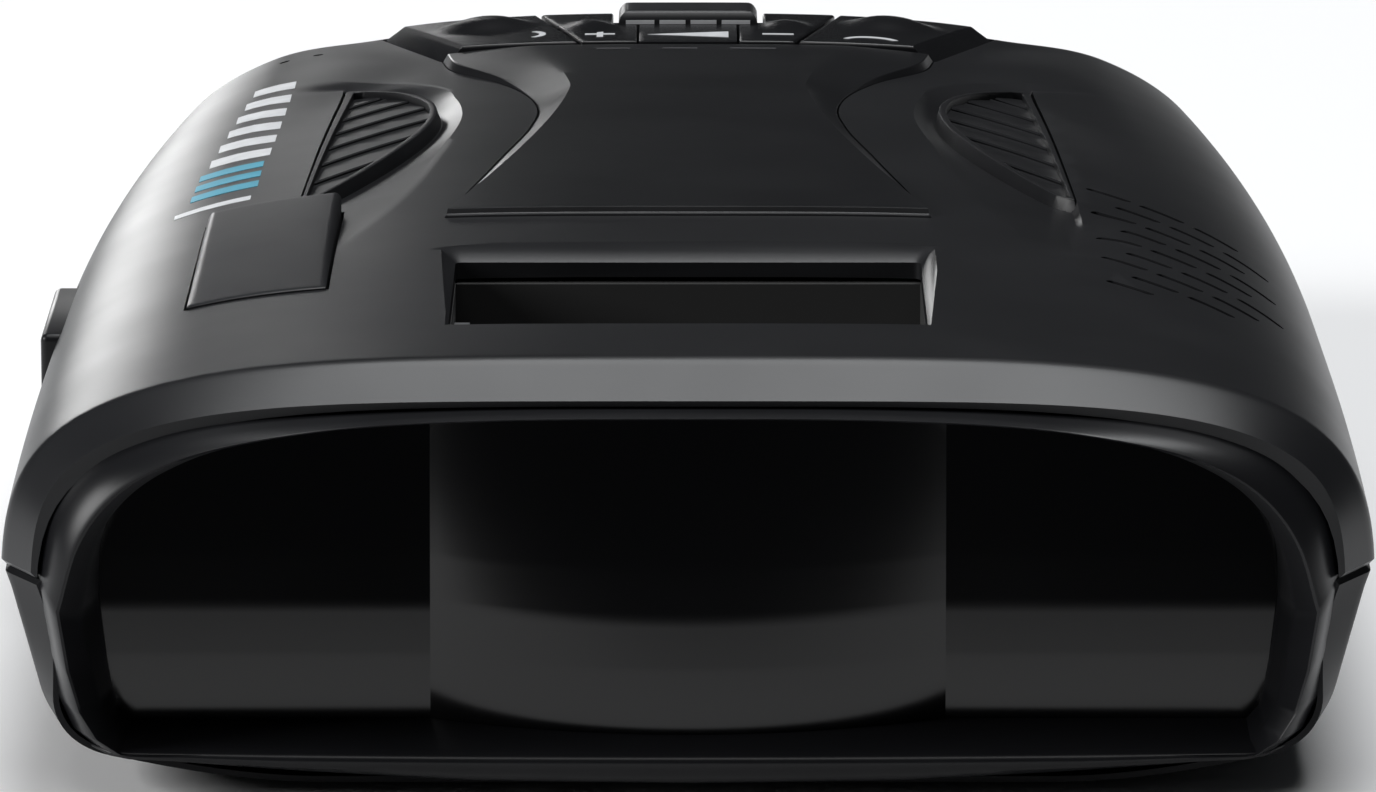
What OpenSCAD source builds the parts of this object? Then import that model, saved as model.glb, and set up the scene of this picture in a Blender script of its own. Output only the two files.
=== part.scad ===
// Windshield radar detector, as an assembly of its separate pieces.
// X runs across the body, Y from the antenna end to the driver's end, Z up.
// Every module draws its piece with Y counted from the mouth rim; in_frame() moves it to the part's frame.

/* [Body] */
// Width across the two shells
body_w = 89; // [86:0.5:92]
// Length from the mouth rim to the display face
body_l = 138; // [136:0.5:142]
// Height of the top surface near the mouth
body_h = 27.8; // [27.4:0.1:28.4]
// Height of the seam between the shells
seam_z = 14; // [13.6:0.1:14.2]
// Wall thickness of the shells
wall = 1.8; // [1.6:0.1:2]

/* [Mouth] */
// Depth of the chamfer band around the mouth
chamfer_d = 3.7; // [3:0.1:4.2]
// How far the chamfer band steps in
chamfer_in = 2.1; // [1.8:0.1:2.2]
// How far the bezel's bottom lip bows forward
lip_bow = 3; // [2:0.1:3.4]
// Depth of the flat window panels behind the rim
window_s = 6; // [5.5:0.1:7]
// Chord of the window's round centre
bulge_w = 33.5; // [30:0.5:36]
// Rise of the window's round centre
bulge_rise = 4.2; // [3.5:0.1:4.5]

/* [Mount] */
// Width of the mount slot
slot_w = 31.4; // [30:0.2:32]
// Front end of the mount slot
slot_s = 13.5; // [13:0.1:14]
// Length of the mount slot
slot_l = 22; // [21:0.1:22.4]
// Height of the slot's floor
slot_floor = 21.6; // [21.4:0.1:22]
// Travel of the release button
release_travel = 1.2; // [0.8:0.1:1.2]

/* [Keys] */
// Front end of the keypad
pad_s = 119.2; // [119:0.1:119.5]
// Length of the keypad
pad_l = 14; // [13.6:0.1:14.2]
// How far the keys stand above the shell
key_rise = 1.1; // [0.9:0.1:1.3]
// Travel of a key
key_travel = 0.6; // [0.4:0.1:0.7]
// Clearance around a moving piece
gap = 0.25; // [0.2:0.05:0.3]

/* [Jacks] */
// Bore of the earphone jack
ear_bore = 3.6; // [3.5:0.05:3.7]
// Depth of the earphone jack
ear_depth = 12; // [11:0.5:13]
// Width of the power jack's mouth
power_w = 9.9; // [9.5:0.1:10.2]
// Height of the power jack's mouth
power_h = 6.8; // [6.5:0.1:7]

/* [Hidden] */
$fn = 48;
bezel_t = 2.5;
shell_l = body_l - bezel_t;
centre_s = (body_l - lip_bow - 0.6) / 2;
lean = 15;
corner_r = 5.8;
corner_z = 7.5;
belly_x = 24;
crown_z = 9;
rear_r = 3;
rim_t = 2.45;
low_rim_t = 0.9;
low_chamfer = 0.24;
rim_d = 8;
arc_n = 24;
seam_gap = 0.1;
overcut = 1;

// Stations along the body: close together at the chamfer band and at the rounded rear end.
STATIONS = concat([0, chamfer_d, rim_d], [for (s = [20:16:116]) s],
    [126, shell_l - rear_r, shell_l - 1.4, shell_l - 0.5, shell_l]);

// Screw posts: x and y of each.
POSTS = [[-33, 16], [33, 16], [-34, 114], [34, 114]];
BOARD_HOLES = [[-27, 57], [27, 57], [-27, 119], [27, 119]];
post_r = 3.6;
pilot_r = 0.9;
plug_r = 2.7;

// ---------- the body's shape ----------

function square_of(v) = v * v;

function half_w(s) = body_w / 2 - 0.5 * square_of(max(0, 1 - s / 40))
    - 3.75 * square_of(max(0, (s - 60) / (shell_l - 60)));

function top_z(s) = body_h - 2.05 * square_of(max(0, (s - 20) / (shell_l - 20)));

function squareness(s) = 4 - 1.2 * s / body_l;

// How far a section steps in at the chamfer band and at the rounded rear end.
function edge_in(s) = s < chamfer_d ? chamfer_in * (1 - s / chamfer_d)
    : s > shell_l - rear_r ? rear_r - sqrt(max(0, square_of(rear_r) - square_of(s - shell_l + rear_r)))
    : 0;

// The upper section's arch, from its right foot at height base over the top to its left foot.
function arch(w, h, n, base) =
    let (t0 = asin(pow((base - crown_z) / h, n / 2)))
    [for (i = [0:arc_n])
        let (t = t0 + (180 - 2 * t0) * i / arc_n, c = cos(t))
        [sign(c) * w * pow(abs(c), 2 / n), crown_z + h * pow(sin(t), 2 / n)]];

function upper_outline(s, grow, base) =
    arch(half_w(s) + 0.3 + grow, top_z(s) + grow - crown_z, squareness(s), base);

// The lower section's right side, from the seam down to the middle of the bottom.
function lower_side(s, grow, base) =
    let (foot = half_w(s), r = corner_r + grow,
        cx = foot - (seam_z - corner_z + corner_r * sin(lean)) * tan(lean) - corner_r * cos(lean))
    concat([[foot + grow / cos(lean) - (seam_z - base) * tan(lean), base]],
        [for (a = [-lean:-17.5:-87]) [cx + r * cos(a), corner_z + r * sin(a)]],
        [[(cx + belly_x) / 2, 0.55 - grow], [belly_x, -grow]]);

function reversed(points) = [for (i = [len(points) - 1:-1:0]) points[i]];

function mirrored(points) = [for (p = points) [-p[0], p[1]]];

function lower_outline(s, grow, base) =
    let (side = lower_side(s, grow, base)) concat(mirrored(side), reversed(side));

// The whole outline at one station, as one closed polygon.
function whole_outline(s, grow) = concat(upper_outline(s, grow, seam_z), lower_outline(s, grow, seam_z));

// A solid through a list of outlines, one for each station, all with the same number of points.
module loft(stations, outlines) {
    n = len(outlines[0]);
    last = len(stations) - 1;
    points = [for (k = [0:last]) for (p = outlines[k]) [p[0], stations[k], p[1]]];
    sides = [for (k = [0:last - 1]) for (i = [0:n - 1]) for (half = [0, 1])
        let (a = k * n + i, b = k * n + (i + 1) % n)
        half == 0 ? [a, b, b + n] : [a, b + n, a + n]];
    front = [for (i = [n - 1:-1:0]) i];
    back = [for (i = [0:n - 1]) last * n + i];
    polyhedron(points, concat(sides, [front, back]), convexity = 6);
}

module upper_loft(stations, grow, base = seam_z)
    loft(stations, [for (s = stations) upper_outline(s, grow - edge_in(s), base)]);

// The lower shell's chamfer is shallower, because the bezel's lip stands in front of it.
module lower_loft(stations, grow, base = seam_z)
    loft(stations, [for (s = stations)
        lower_outline(s, grow - edge_in(s) * (s < chamfer_d ? low_chamfer : 1), base)]);

// The hollow inside a shell: its walls thin to a rim at the mouth and turn in to a land at the rear end.
CAVITY = concat([-overcut, rim_d, rim_d + 0.2], [for (s = [20:16:116]) s], [126, shell_l - 3, shell_l + overcut]);

function cavity_skin(s, rim) = s <= rim_d ? rim : wall + 0.7 * max(0, s - shell_l + rear_r);

module upper_cavity()
    loft(CAVITY, [for (s = CAVITY) upper_outline(max(0, s), -cavity_skin(s, rim_t), seam_z - overcut)]);

module lower_cavity()
    loft(CAVITY, [for (s = CAVITY) lower_outline(max(0, s), -cavity_skin(s, low_rim_t), seam_z + overcut)]);

// A stretch of the top skin between two stations, from thick below its surface to rise above it.
module top_skin(s0, s1, rise, thick) {
    stations = [for (i = [0:5]) s0 + (s1 - s0) * i / 5];
    difference() {
        loft(stations, [for (s = stations) upper_outline(s, rise, seam_z)]);
        translate([0, 0, -thick])
            loft([s0 - overcut, each [for (i = [1:4]) stations[i]], s1 + overcut],
                [for (s = stations) upper_outline(s, rise, seam_z)]);
    }
}

// A prism standing on an outline drawn in the X Y plane, tall enough to pass the top skin.
module column(points) translate([0, 0, 16]) linear_extrude(18) polygon(points);

// An outline in the X Z plane, extruded from y0 to y1.
module across(y0, y1) translate([0, y1, 0]) rotate([90, 0, 0]) linear_extrude(y1 - y0) children();

module block(low, high) translate(low) cube(high - low);

module in_frame() translate([0, -centre_s, 0]) children();

// ---------- outlines seen from above ----------

inlay_front = 49;
inlay_back = 118.8;

// Half width of the hourglass inlay: wide at the front, narrow near 98, wider again at the keys.
function inlay_half(s) = let (t = (s - 98) / 49) 8.7 + 10.6 * pow(abs(t), s < 98 ? 1.5 : 2.3) * (s < 98 ? 0.74 : 1);

function inlay_points() =
    let (right = [for (i = [0:14]) let (s = inlay_front + (inlay_back - inlay_front) * i / 14)
        [inlay_half(s) + (s > 98 ? 0.09 * (s - 98) : 0), s]])
    concat(right, reversed(mirrored(right)));

// A vent: a straight outer side and a bowed inner side that meet in a tip at the front.
vent_tip = [27.2, 58];
vent_back = [25.9, 108.1];

function vent_points(grow = 0) =
    concat([vent_tip + [grow, -3 * grow], vent_back + [grow, grow]],
        [for (i = [1:9]) let (t = i / 10, y = vent_back[1] - (vent_back[1] - vent_tip[1]) * t)
            [26.4 - 8.2 * pow(sin(180 * pow(t, 0.62)), 0.8) - grow, y]]);

module release_plan(grow = 0) translate([-33.4 - grow, 26.2 - grow]) square([9.3 + 2 * grow, 28.6 + 2 * grow]);

// Keys, as seen from above: the menu keys lean outward, and the volume keys hold the mute bar between them.
MENU_KEY = [[8.4, pad_s], [18.6, pad_s], [23.6, pad_s + pad_l], [11.7, pad_s + pad_l]];
VOLUME_KEY = [[3.9, pad_s], [8.1, pad_s], [11.4, pad_s + pad_l], [6.3, pad_s + pad_l],
    [6.3, pad_s + 8.2], [3.9, pad_s + 8.2]];
MUTE_KEY = [[-5.9, pad_s + 8.6], [5.9, pad_s + 8.6], [5.9, pad_s + pad_l], [-5.9, pad_s + pad_l]];
PLATE = [[-3.6, pad_s], [3.6, pad_s], [3.6, pad_s + 8.2], [-3.6, pad_s + 8.2]];
PAD = [[-18.9, pad_s - gap], [18.9, pad_s - gap], [24.1, pad_s + pad_l + gap], [-24.1, pad_s + pad_l + gap]];

// ---------- shells ----------

module side_openings() {
    block([-body_w, 50, 7.4], [-40, 66, 19]);
    translate([-body_w, ear_s, ear_z]) rotate([0, 90, 0]) cylinder(h = body_w - 38, r = 2.5);
    block([38, 76, 8.4], [body_w, 86, 12]);
}

module upper_housing() color("#1c1d20") in_frame() difference() {
    union() {
        difference() {
            upper_loft(STATIONS, 0, seam_z + seam_gap);
            upper_cavity();
        }
        for (p = POSTS) translate([p[0], p[1], seam_z + seam_gap]) cylinder(h = p[1] < 60 ? 9.5 : 7.1, r = post_r);
    }
    block([-slot_w / 2, slot_s, 18], [slot_w / 2, slot_s + slot_l, 30]);
    intersection() {
        top_skin(inlay_front - 2, inlay_back + 2, 2, 2.8);
        column(inlay_points());
    }
    column(PAD);
    for (side = [0, 1]) mirror([side, 0, 0]) column(vent_points(gap / 2));
    translate([0, 0, 16]) linear_extrude(18) release_plan(gap);
    translate([0, 0, 16]) linear_extrude(18) grille_plan(0.1);
    side_openings();
    for (p = POSTS) translate([p[0], p[1], seam_z - overcut]) cylinder(h = 7.4, r = pilot_r);
}

// The lower shell carries the screw posts, the board's posts, the spring's seat and the speaker's tube.
module lower_housing() color("#17181a") in_frame() difference() {
    union() {
        difference() {
            lower_loft(STATIONS, 0, seam_z - seam_gap);
            lower_cavity();
        }
        for (p = POSTS) translate([p[0], p[1], 2.5]) cylinder(h = seam_z - seam_gap - 2.5, r = post_r);
        for (p = BOARD_HOLES) translate([p[0], p[1], 1]) cylinder(h = board_z - 1, r = 2.4);
        translate([spring_x, spring_s, 1]) cylinder(h = spring_low - wire_r - 1, r = 3);
        translate([speaker_x, speaker_s, 2.2]) cylinder(h = speaker_z - 2.2, r = 7.4);
    }
    side_openings();
    block([-20.1, 59.9, -1], [20.1, 100.1, 0.4]);
    translate([speaker_x, speaker_s, 4.2]) cylinder(h = speaker_z, r = 6.2);
    for (p = BOARD_HOLES) translate([p[0], p[1], 3]) cylinder(h = board_z, r = pilot_r + 0.02);
    for (p = POSTS) translate([p[0], p[1], -1]) {
        cylinder(h = 5, r = plug_r);
        cylinder(h = seam_z + 5, r = 1.3);
    }
}

// ---------- mouth ----------

// The bezel's opening: a kinked lower half under the upper half's arch.
function mouth_points(grow) = concat(
    arch(38.3 + grow, 14.7 + grow, 4, 11.2),
    [[-37.2 - grow, 5 - grow], [-36.2 - grow, 3.1 - grow], [36.2 + grow, 3.1 - grow], [37.2 + grow, 5 - grow]]);

function bowed(half, rise, s0) = [for (i = [-12:12]) [half * i / 12, s0 - rise * (1 - square_of(i / 12))]];

// The outline of what sits inside the mouth of the two shells, with clear room around it.
function sleeve_outline(room) = concat(
    upper_outline(0, -rim_t - room, seam_z), lower_outline(0, -low_rim_t - room, seam_z));

module front_bezel() color("#131416") in_frame() {
    difference() {
        across(-0.6, rim_d - 0.3) polygon(sleeve_outline(0.1));
        across(-overcut, window_s) polygon(mouth_points(0));
        across(window_s - 0.01, body_l) polygon(mouth_points(0.9));
        translate([0, 0, 3.1]) linear_extrude(18) polygon(concat(bowed(38, lip_bow, -0.6), [[38, 20], [-38, 20]]));
    }
    intersection() {
        translate([0, 0, 0.5]) linear_extrude(2.6) polygon(concat(bowed(38, lip_bow, -0.6), [[38, 0], [-38, 0]]));
        across(-8, 2) polygon([[-38, 3.1], [-38, 2.4], [-33, 1.5], [-14, 0.6],
            [14, 0.6], [33, 1.5], [38, 2.4], [38, 3.1]]);
    }
}

window_t = 1.4;
bulge_r = (square_of(bulge_w / 2) + square_of(bulge_rise)) / (2 * bulge_rise);

module window_plan(t) {
    difference() {
        union() {
            translate([-45, window_s]) square([90, t]);
            intersection() {
                translate([0, window_s - bulge_rise + bulge_r]) circle(r = bulge_r, $fn = 120);
                translate([-bulge_w / 2, 0]) square([bulge_w, window_s + t]);
            }
        }
        intersection() {
            translate([0, window_s - bulge_rise + bulge_r]) circle(r = bulge_r - t, $fn = 120);
            translate([-bulge_w / 2 + t, 0]) square([bulge_w - 2 * t, 30]);
        }
    }
}

module front_window() color("#08080a") in_frame() intersection() {
    linear_extrude(body_h) window_plan(window_t);
    union() {
        across(0, window_s) polygon(mouth_points(-0.05));
        intersection() {
            across(window_s, 12) polygon(mouth_points(0.85));
            across(window_s, 12) polygon(sleeve_outline(0.3));
        }
    }
}

// ---------- display end ----------

plug_in = 4.2;
display_w = 58;
display_z = [7.2, 20.2];

module display_plan(grow) translate([-display_w / 2 - grow, display_z[0] - grow])
    square([display_w + 2 * grow, display_z[1] - display_z[0] + 2 * grow]);

module rear_bezel() color("#131416") in_frame() difference() {
    union() {
        across(shell_l, body_l) polygon(whole_outline(shell_l, -rear_r));
        across(shell_l - 2, shell_l) polygon(whole_outline(shell_l, -plug_in));
    }
    across(shell_l - 1.2, body_l + 1) display_plan(0);
    across(shell_l - 4, body_l) display_plan(-1.5);
    across(shell_l - 4, shell_l - 1) polygon(whole_outline(shell_l, -plug_in - 1.3));
}

module display_lens() color("#050507") in_frame() across(body_l - 1.7, body_l - 0.2) display_plan(-0.1);

module display_module() color("#20242a") in_frame() {
    block([-26, shell_l - 6.5, 5.8], [26, shell_l - 2.2, 18.2]);
    block([-24, shell_l - 2.2, 9.2], [24, shell_l - 0.4, 18.2]);
}

module display_ribbon() color("#b8722c") in_frame() {
    block([-9, 122, 4.4], [9, 129, 4.7]);
    block([-9, 122, 4.7], [9, 122.3, board_z + 1.2]);
    block([-9, 128.7, 4.7], [9, 129, 6.4]);
}

// ---------- top pieces ----------

module top_inlay() color("#1a1a1d") in_frame() intersection() {
    translate([0, 0, 0.55]) top_skin(inlay_front - 3, inlay_back + 0.2, 0, 1.3);
    column([for (p = inlay_points()) [p[0] - 0.1 * sign(p[0]), p[1] + 0.1 * sign(90 - p[1])]]);
}

louvre_n = 6;
vent_rim = 1.1;

module vent_grille() in_frame() difference() {
    intersection() {
        top_skin(56, 110, -0.3, 1.5);
        column(vent_points());
    }
    intersection() {
        column(vent_points(-vent_rim));
        for (i = [0:louvre_n - 1]) translate([22.8, 68 + 6.4 * i, 16])
            rotate([0, 0, -33]) translate([-9, -1]) cube([18, 1.9, 16]);
    }
}

module vent_grille_left() color("#101113") mirror([1, 0, 0]) vent_grille();

module vent_grille_right() color("#101113") vent_grille();

dash_l = 3.4;
dash_w = 1;

// The speaker's slots: slanted rows of dashes laid like bricks, inside a slanted patch.
function dash_places() = [for (row = [0:8]) for (k = [0:4])
    let (u = k * 4.7 + (row % 2) * 2.35, x = 29.6 + u * cos(40), y = 62.6 - row * 4.1 - u * sin(40))
    if (x < 39 && y > 27.5) [x, y]];

module grille_plan(grow) polygon([[27.6 - grow, 65 + grow], [40.6 + grow, 54 + grow],
    [40.6 + grow, 26 - grow], [27.6 - grow, 37 - grow]]);

module speaker_grille() color("#16171a") in_frame() difference() {
    intersection() {
        top_skin(22, 68, 0, 1.5);
        translate([0, 0, 12]) linear_extrude(20) grille_plan(0);
    }
    for (p = dash_places()) translate([p[0], p[1], 12]) rotate([0, 0, -40])
        translate([-dash_l / 2, -dash_w / 2]) cube([dash_l, dash_w, 20]);
}

// ---------- keys ----------

key_t = 2.4;
stem_r = 1.3;
switch_z = 19.6;
switch_h = 0.9;
stem_z = [switch_z + switch_h + key_travel + 0.1, 25.2];
carrier_z = [21.9, 22.9];

// A key: a slab that follows the shell's top, with a stem that reaches down to its switch.
module key(points, rise, stem) {
    intersection() {
        top_skin(pad_s - 1, pad_s + pad_l + 1, rise, key_t + rise - key_rise);
        translate([0, 0, stem_z[0]]) linear_extrude(body_h - 15) polygon(points);
    }
    translate([stem[0], stem[1], stem_z[0]]) cylinder(h = stem_z[1] - stem_z[0], r = stem_r);
}

STEM_MENU = [15.2, pad_s + 7];
STEM_VOLUME = [7.6, pad_s + 4];
STEM_MUTE = [0, pad_s + 10];
STEMS = [[-15.2, pad_s + 7], STEM_MENU, [-7.6, pad_s + 4], STEM_VOLUME, STEM_MUTE];

module left_menu_button() color("#17181b") in_frame() mirror([1, 0, 0]) key(MENU_KEY, key_rise, STEM_MENU);

module right_menu_button() color("#17181b") in_frame() key(MENU_KEY, key_rise, STEM_MENU);

module volume_up_button() color("#17181b") in_frame() mirror([1, 0, 0]) key(VOLUME_KEY, key_rise, STEM_VOLUME);

module volume_down_button() color("#17181b") in_frame() key(VOLUME_KEY, key_rise, STEM_VOLUME);

module mute_button() color("#2a2b2f") in_frame() key(MUTE_KEY, key_rise + 0.6, STEM_MUTE);

module volume_plate() color("#17181b") in_frame() intersection() {
    translate([0, 0, carrier_z[1]]) linear_extrude(body_h) polygon(PLATE);
    loft([pad_s - 1, pad_s + 10], [for (s = [pad_s - 1, pad_s + 10]) upper_outline(s, key_rise - 0.1, seam_z)]);
}

module key_carrier() color("#222326") in_frame() difference() {
    translate([0, 0, carrier_z[0]]) linear_extrude(carrier_z[1] - carrier_z[0])
        polygon([[-19, pad_s - 1], [19, pad_s - 1], [22, pad_s + pad_l - 2], [-22, pad_s + pad_l - 2]]);
    for (p = STEMS) translate([p[0], p[1], 0]) cylinder(h = 40, r = stem_r + gap);
}

module keypad_mat() color("#3a3a3c") in_frame() {
    translate([0, 0, 20.9]) linear_extrude(0.3) difference() {
        translate([-20, pad_s - 1]) square([40, pad_l - 1.4]);
        for (p = STEMS) translate([p[0], p[1]]) circle(r = 1.9);
    }
}

module key_board() color("#1f5a3a") in_frame() block([-20, pad_s - 1, 18.6], [20, pad_s + pad_l - 2.4, switch_z]);

module tact_switches() color("#c9c9c4") in_frame() for (p = STEMS) translate([p[0], p[1], switch_z]) {
    translate([-1.4, -1.4, 0]) cube([2.8, 2.8, 0.7]);
    cylinder(h = switch_h, r = 0.8);
}

// ---------- mount ----------

pocket_t = 1.2;
latch_z = [22.4, 23.5];
latch_s = [28, 33];

module mount_pocket() color("#0f1012") in_frame() difference() {
    block([-slot_w / 2 - pocket_t, slot_s - pocket_t, slot_floor - pocket_t],
        [slot_w / 2 + pocket_t, slot_s + slot_l + pocket_t, 25.6]);
    block([-slot_w / 2, slot_s, slot_floor], [slot_w / 2, slot_s + slot_l, 30]);
    block([-slot_w / 2 - 3, latch_s[0] - gap, latch_z[0] - gap], [0, latch_s[1] + gap, latch_z[1] + gap]);
}

// The latch tongue stands in the slot; its window lets the button's wedge through.
module mount_latch() color("#9a9da2") in_frame() difference() {
    block([-31.9, latch_s[0], latch_z[0]], [-slot_w / 2 + 1, latch_s[1], latch_z[1]]);
    block([-30.9, latch_s[0] + 1.2, 20], [-26.2, latch_s[1] - 1.2, 26]);
}

module release_button() color("#1d1e21") in_frame() {
    difference() {
        intersection() {
            top_skin(24, 57, 0.85, 2.6);
            translate([0, 0, 16]) linear_extrude(18) release_plan();
        }
        block([-34, latch_s[0] - 0.6, 20], [-24, latch_s[1] + 0.6, latch_z[1] + release_travel + gap]);
    }
    block([-29.9, latch_s[0] + 1.5, 21.2], [-28.2, latch_s[1] - 1.5, 25.4]);
    translate([spring_x, spring_s, 21.6]) cylinder(h = 3.8, r = 1.1);
}

spring_x = -28.8;
spring_s = 44;
spring_low = 15.6;
spring_high = 23.3;
spring_turns = 5;
spring_r = 2.2;
wire_r = 0.28;
spring_steps = 14;

// A coil spring as one tube, swept along its helix.
module coil(turns, r, low, high, wire) {
    rings = turns * spring_steps;
    sides = 8;
    points = [for (k = [0:rings]) let (a = 360 * k / spring_steps, z = low + (high - low) * k / rings)
        for (j = [0:sides - 1]) let (b = 360 * j / sides)
        [(r + wire * cos(b)) * cos(a), (r + wire * cos(b)) * sin(a), z + wire * sin(b)]];
    faces = [for (k = [0:rings - 1]) for (j = [0:sides - 1]) for (half = [0, 1])
        let (p = k * sides + j, q = k * sides + (j + 1) % sides)
        half == 0 ? [p, p + sides, q + sides] : [p, q + sides, q]];
    polyhedron(points, concat(faces, [[for (j = [0:sides - 1]) j],
        [for (j = [sides - 1:-1:0]) rings * sides + j]]), convexity = 8);
}

module release_spring() color("#b9bcc2") in_frame() translate([spring_x, spring_s, 0])
    coil(spring_turns, spring_r, spring_low, spring_high, wire_r);

// ---------- electronics ----------

board_z = 7.4;

// The main board, with a tongue under the two jacks on the left and one under the USB port on the right.
module main_board() color("#1f5a3a") in_frame() difference() {
    union() {
        block([-29.5, 54, board_z], [29.5, 122, board_z + 1.2]);
        block([-39.8, 52, board_z], [-29, 82, board_z + 1.2]);
        block([29, 74, board_z], [39.8, 88, board_z + 1.2]);
    }
    for (p = BOARD_HOLES) translate([p[0], p[1], 0]) cylinder(h = 20, r = 1.2);
}

module board_screws() color("#c6c8cb") in_frame() for (p = BOARD_HOLES) translate([p[0], p[1], 0]) {
    translate([0, 0, board_z + 1.2]) cylinder(h = 1.2, r = 2);
    translate([0, 0, 4.2]) cylinder(h = board_z - 3, r = 0.9);
}

module shield_can() color("#c4c6c8") in_frame() difference() {
    block([-13, 62, board_z + 1.2], [13, 92, 14.6]);
    block([-12.5, 62.5, board_z + 1], [12.5, 91.5, 14.2]);
}

horn_z = 10.8;
probe_r = 0.9;
laser_x = 22.5;

module horn_shape(grow) hull() {
    translate([-13.5 - grow, 12.5 - grow, horn_z - 5.5 - grow]) cube([27 + 2 * grow, 1, 11 + 2 * grow]);
    translate([-5 - grow, 40 + grow, horn_z - 2.6 - grow]) cube([10 + 2 * grow, 1, 5.2 + 2 * grow]);
}

module horn_antenna() color("#a9adb2") in_frame() difference() {
    union() {
        horn_shape(1.1);
        block([-8, 38, horn_z - 4.4], [8, 51.5, horn_z + 4.6]);
    }
    translate([0, -1.2, 0]) horn_shape(0);
    block([-5, 39, horn_z - 2.6], [5, 49.5, horn_z + 2.6]);
    translate([0, 53, horn_z]) rotate([90, 0, 0]) cylinder(h = 5, r = probe_r + 0.3);
}

module horn_launcher() color("#1f5a3a") in_frame() {
    block([-6.5, 51.5, horn_z - 3.4], [6.5, 52.7, horn_z + 3.8]);
    translate([0, 51.6, horn_z]) rotate([90, 0, 0]) cylinder(h = 4, r = probe_r);
}

module laser_lens() color("#5a2a30") in_frame() translate([laser_x, 11, horn_z]) rotate([-90, 0, 0]) {
    cylinder(h = 2, r = 5);
    translate([0, 0, 2]) cylinder(h = 1.2, r = 4.2);
}

module laser_board() color("#1f5a3a") in_frame() {
    block([laser_x - 5.5, 24, 5], [laser_x + 5.5, 25.2, 17]);
    translate([laser_x, 20.8, horn_z]) rotate([-90, 0, 0]) cylinder(h = 3.2, r = 2.4);
}

power_s = 58;
power_z = 13.2;
ear_s = 78;
ear_z = 11;
ear_r = 2.4;

module power_jack() color("#0c0d0f") in_frame() difference() {
    block([-43.4, power_s - 6.6, power_z - 4.6], [-30, power_s + 6.6, power_z + 4.9]);
    block([-46, power_s - power_w / 2, power_z - power_h / 2], [-32, power_s + power_w / 2, power_z + power_h / 2]);
}

module power_collar() color("#191a1d") in_frame() difference() {
    block([-44.9, 50.2, 7.6], [-41, 65.8, 18.8]);
    block([-46, power_s - 6.7, power_z - 4.7], [-40, power_s + 6.7, power_z + 5]);
}

module ear_jack() color("#0c0d0f") in_frame() translate([-43, ear_s, ear_z]) rotate([0, 90, 0]) difference() {
    union() {
        cylinder(h = ear_depth + 1, r = ear_r);
        translate([-ear_r, -3.2, 3.4]) cube([2 * ear_r, 6.4, ear_depth - 2.4]);
    }
    translate([0, 0, -overcut]) cylinder(h = ear_depth + overcut, r = ear_bore / 2);
}

module usb_port() color("#b9bbbe") in_frame() difference() {
    block([36, 76.3, board_z + 1.2], [42.6, 85.7, board_z + 4.4]);
    block([37.2, 76.9, board_z + 1.7], [44, 85.1, board_z + 3.9]);
}

speaker_x = 31.4;
speaker_s = 45;
speaker_z = 17.2;
speaker_r = 8;

module speaker() color("#2b2c2f") in_frame() translate([speaker_x, speaker_s, speaker_z]) {
    translate([0, 0, -2.4]) cylinder(h = 2.4, r = 5.5);
    difference() {
        cylinder(h = 2, r = speaker_r);
        translate([0, 0, 1]) cylinder(h = 2, r = speaker_r - 1);
    }
    translate([0, 0, 1]) cylinder(h = 0.7, r = speaker_r - 2);
}

module speaker_gasket() color("#3a3a3c") in_frame() translate([speaker_x, speaker_s, speaker_z + 2]) difference() {
    cylinder(h = 0.9, r = speaker_r - 0.1);
    translate([0, 0, -overcut]) cylinder(h = 4, r = speaker_r - 1.3);
}

module housing_screws() color("#8d9095") in_frame() for (p = POSTS) translate([p[0], p[1], 0]) {
    translate([0, 0, 2.6]) cylinder(h = 1.4, r = 2.2);
    translate([0, 0, 4]) cylinder(h = 14.5, r = pilot_r - 0.02);
}

module screw_plugs() color("#1a1b1d") in_frame() for (p = POSTS) translate([p[0], p[1], 1.5])
    cylinder(h = 0.9, r = plug_r - 0.1);

module bottom_label() color("#3b3c40") in_frame() block([-20, 60, 0.1], [20, 100, 0.35]);

upper_housing();
lower_housing();
front_bezel();
front_window();
rear_bezel();
display_lens();
display_module();
display_ribbon();
top_inlay();
vent_grille_left();
vent_grille_right();
key_carrier();
volume_plate();
left_menu_button();
right_menu_button();
volume_up_button();
volume_down_button();
mute_button();
keypad_mat();
key_board();
tact_switches();
mount_pocket();
mount_latch();
release_button();
release_spring();
speaker_grille();
speaker();
speaker_gasket();
main_board();
board_screws();
shield_can();
horn_antenna();
horn_launcher();
laser_lens();
laser_board();
power_jack();
power_collar();
ear_jack();
usb_port();
housing_screws();
screw_plugs();
bottom_label();
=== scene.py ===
import logging
import math
from dataclasses import dataclass
from enum import Enum
from functools import partial
from typing import Callable, Sequence

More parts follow.
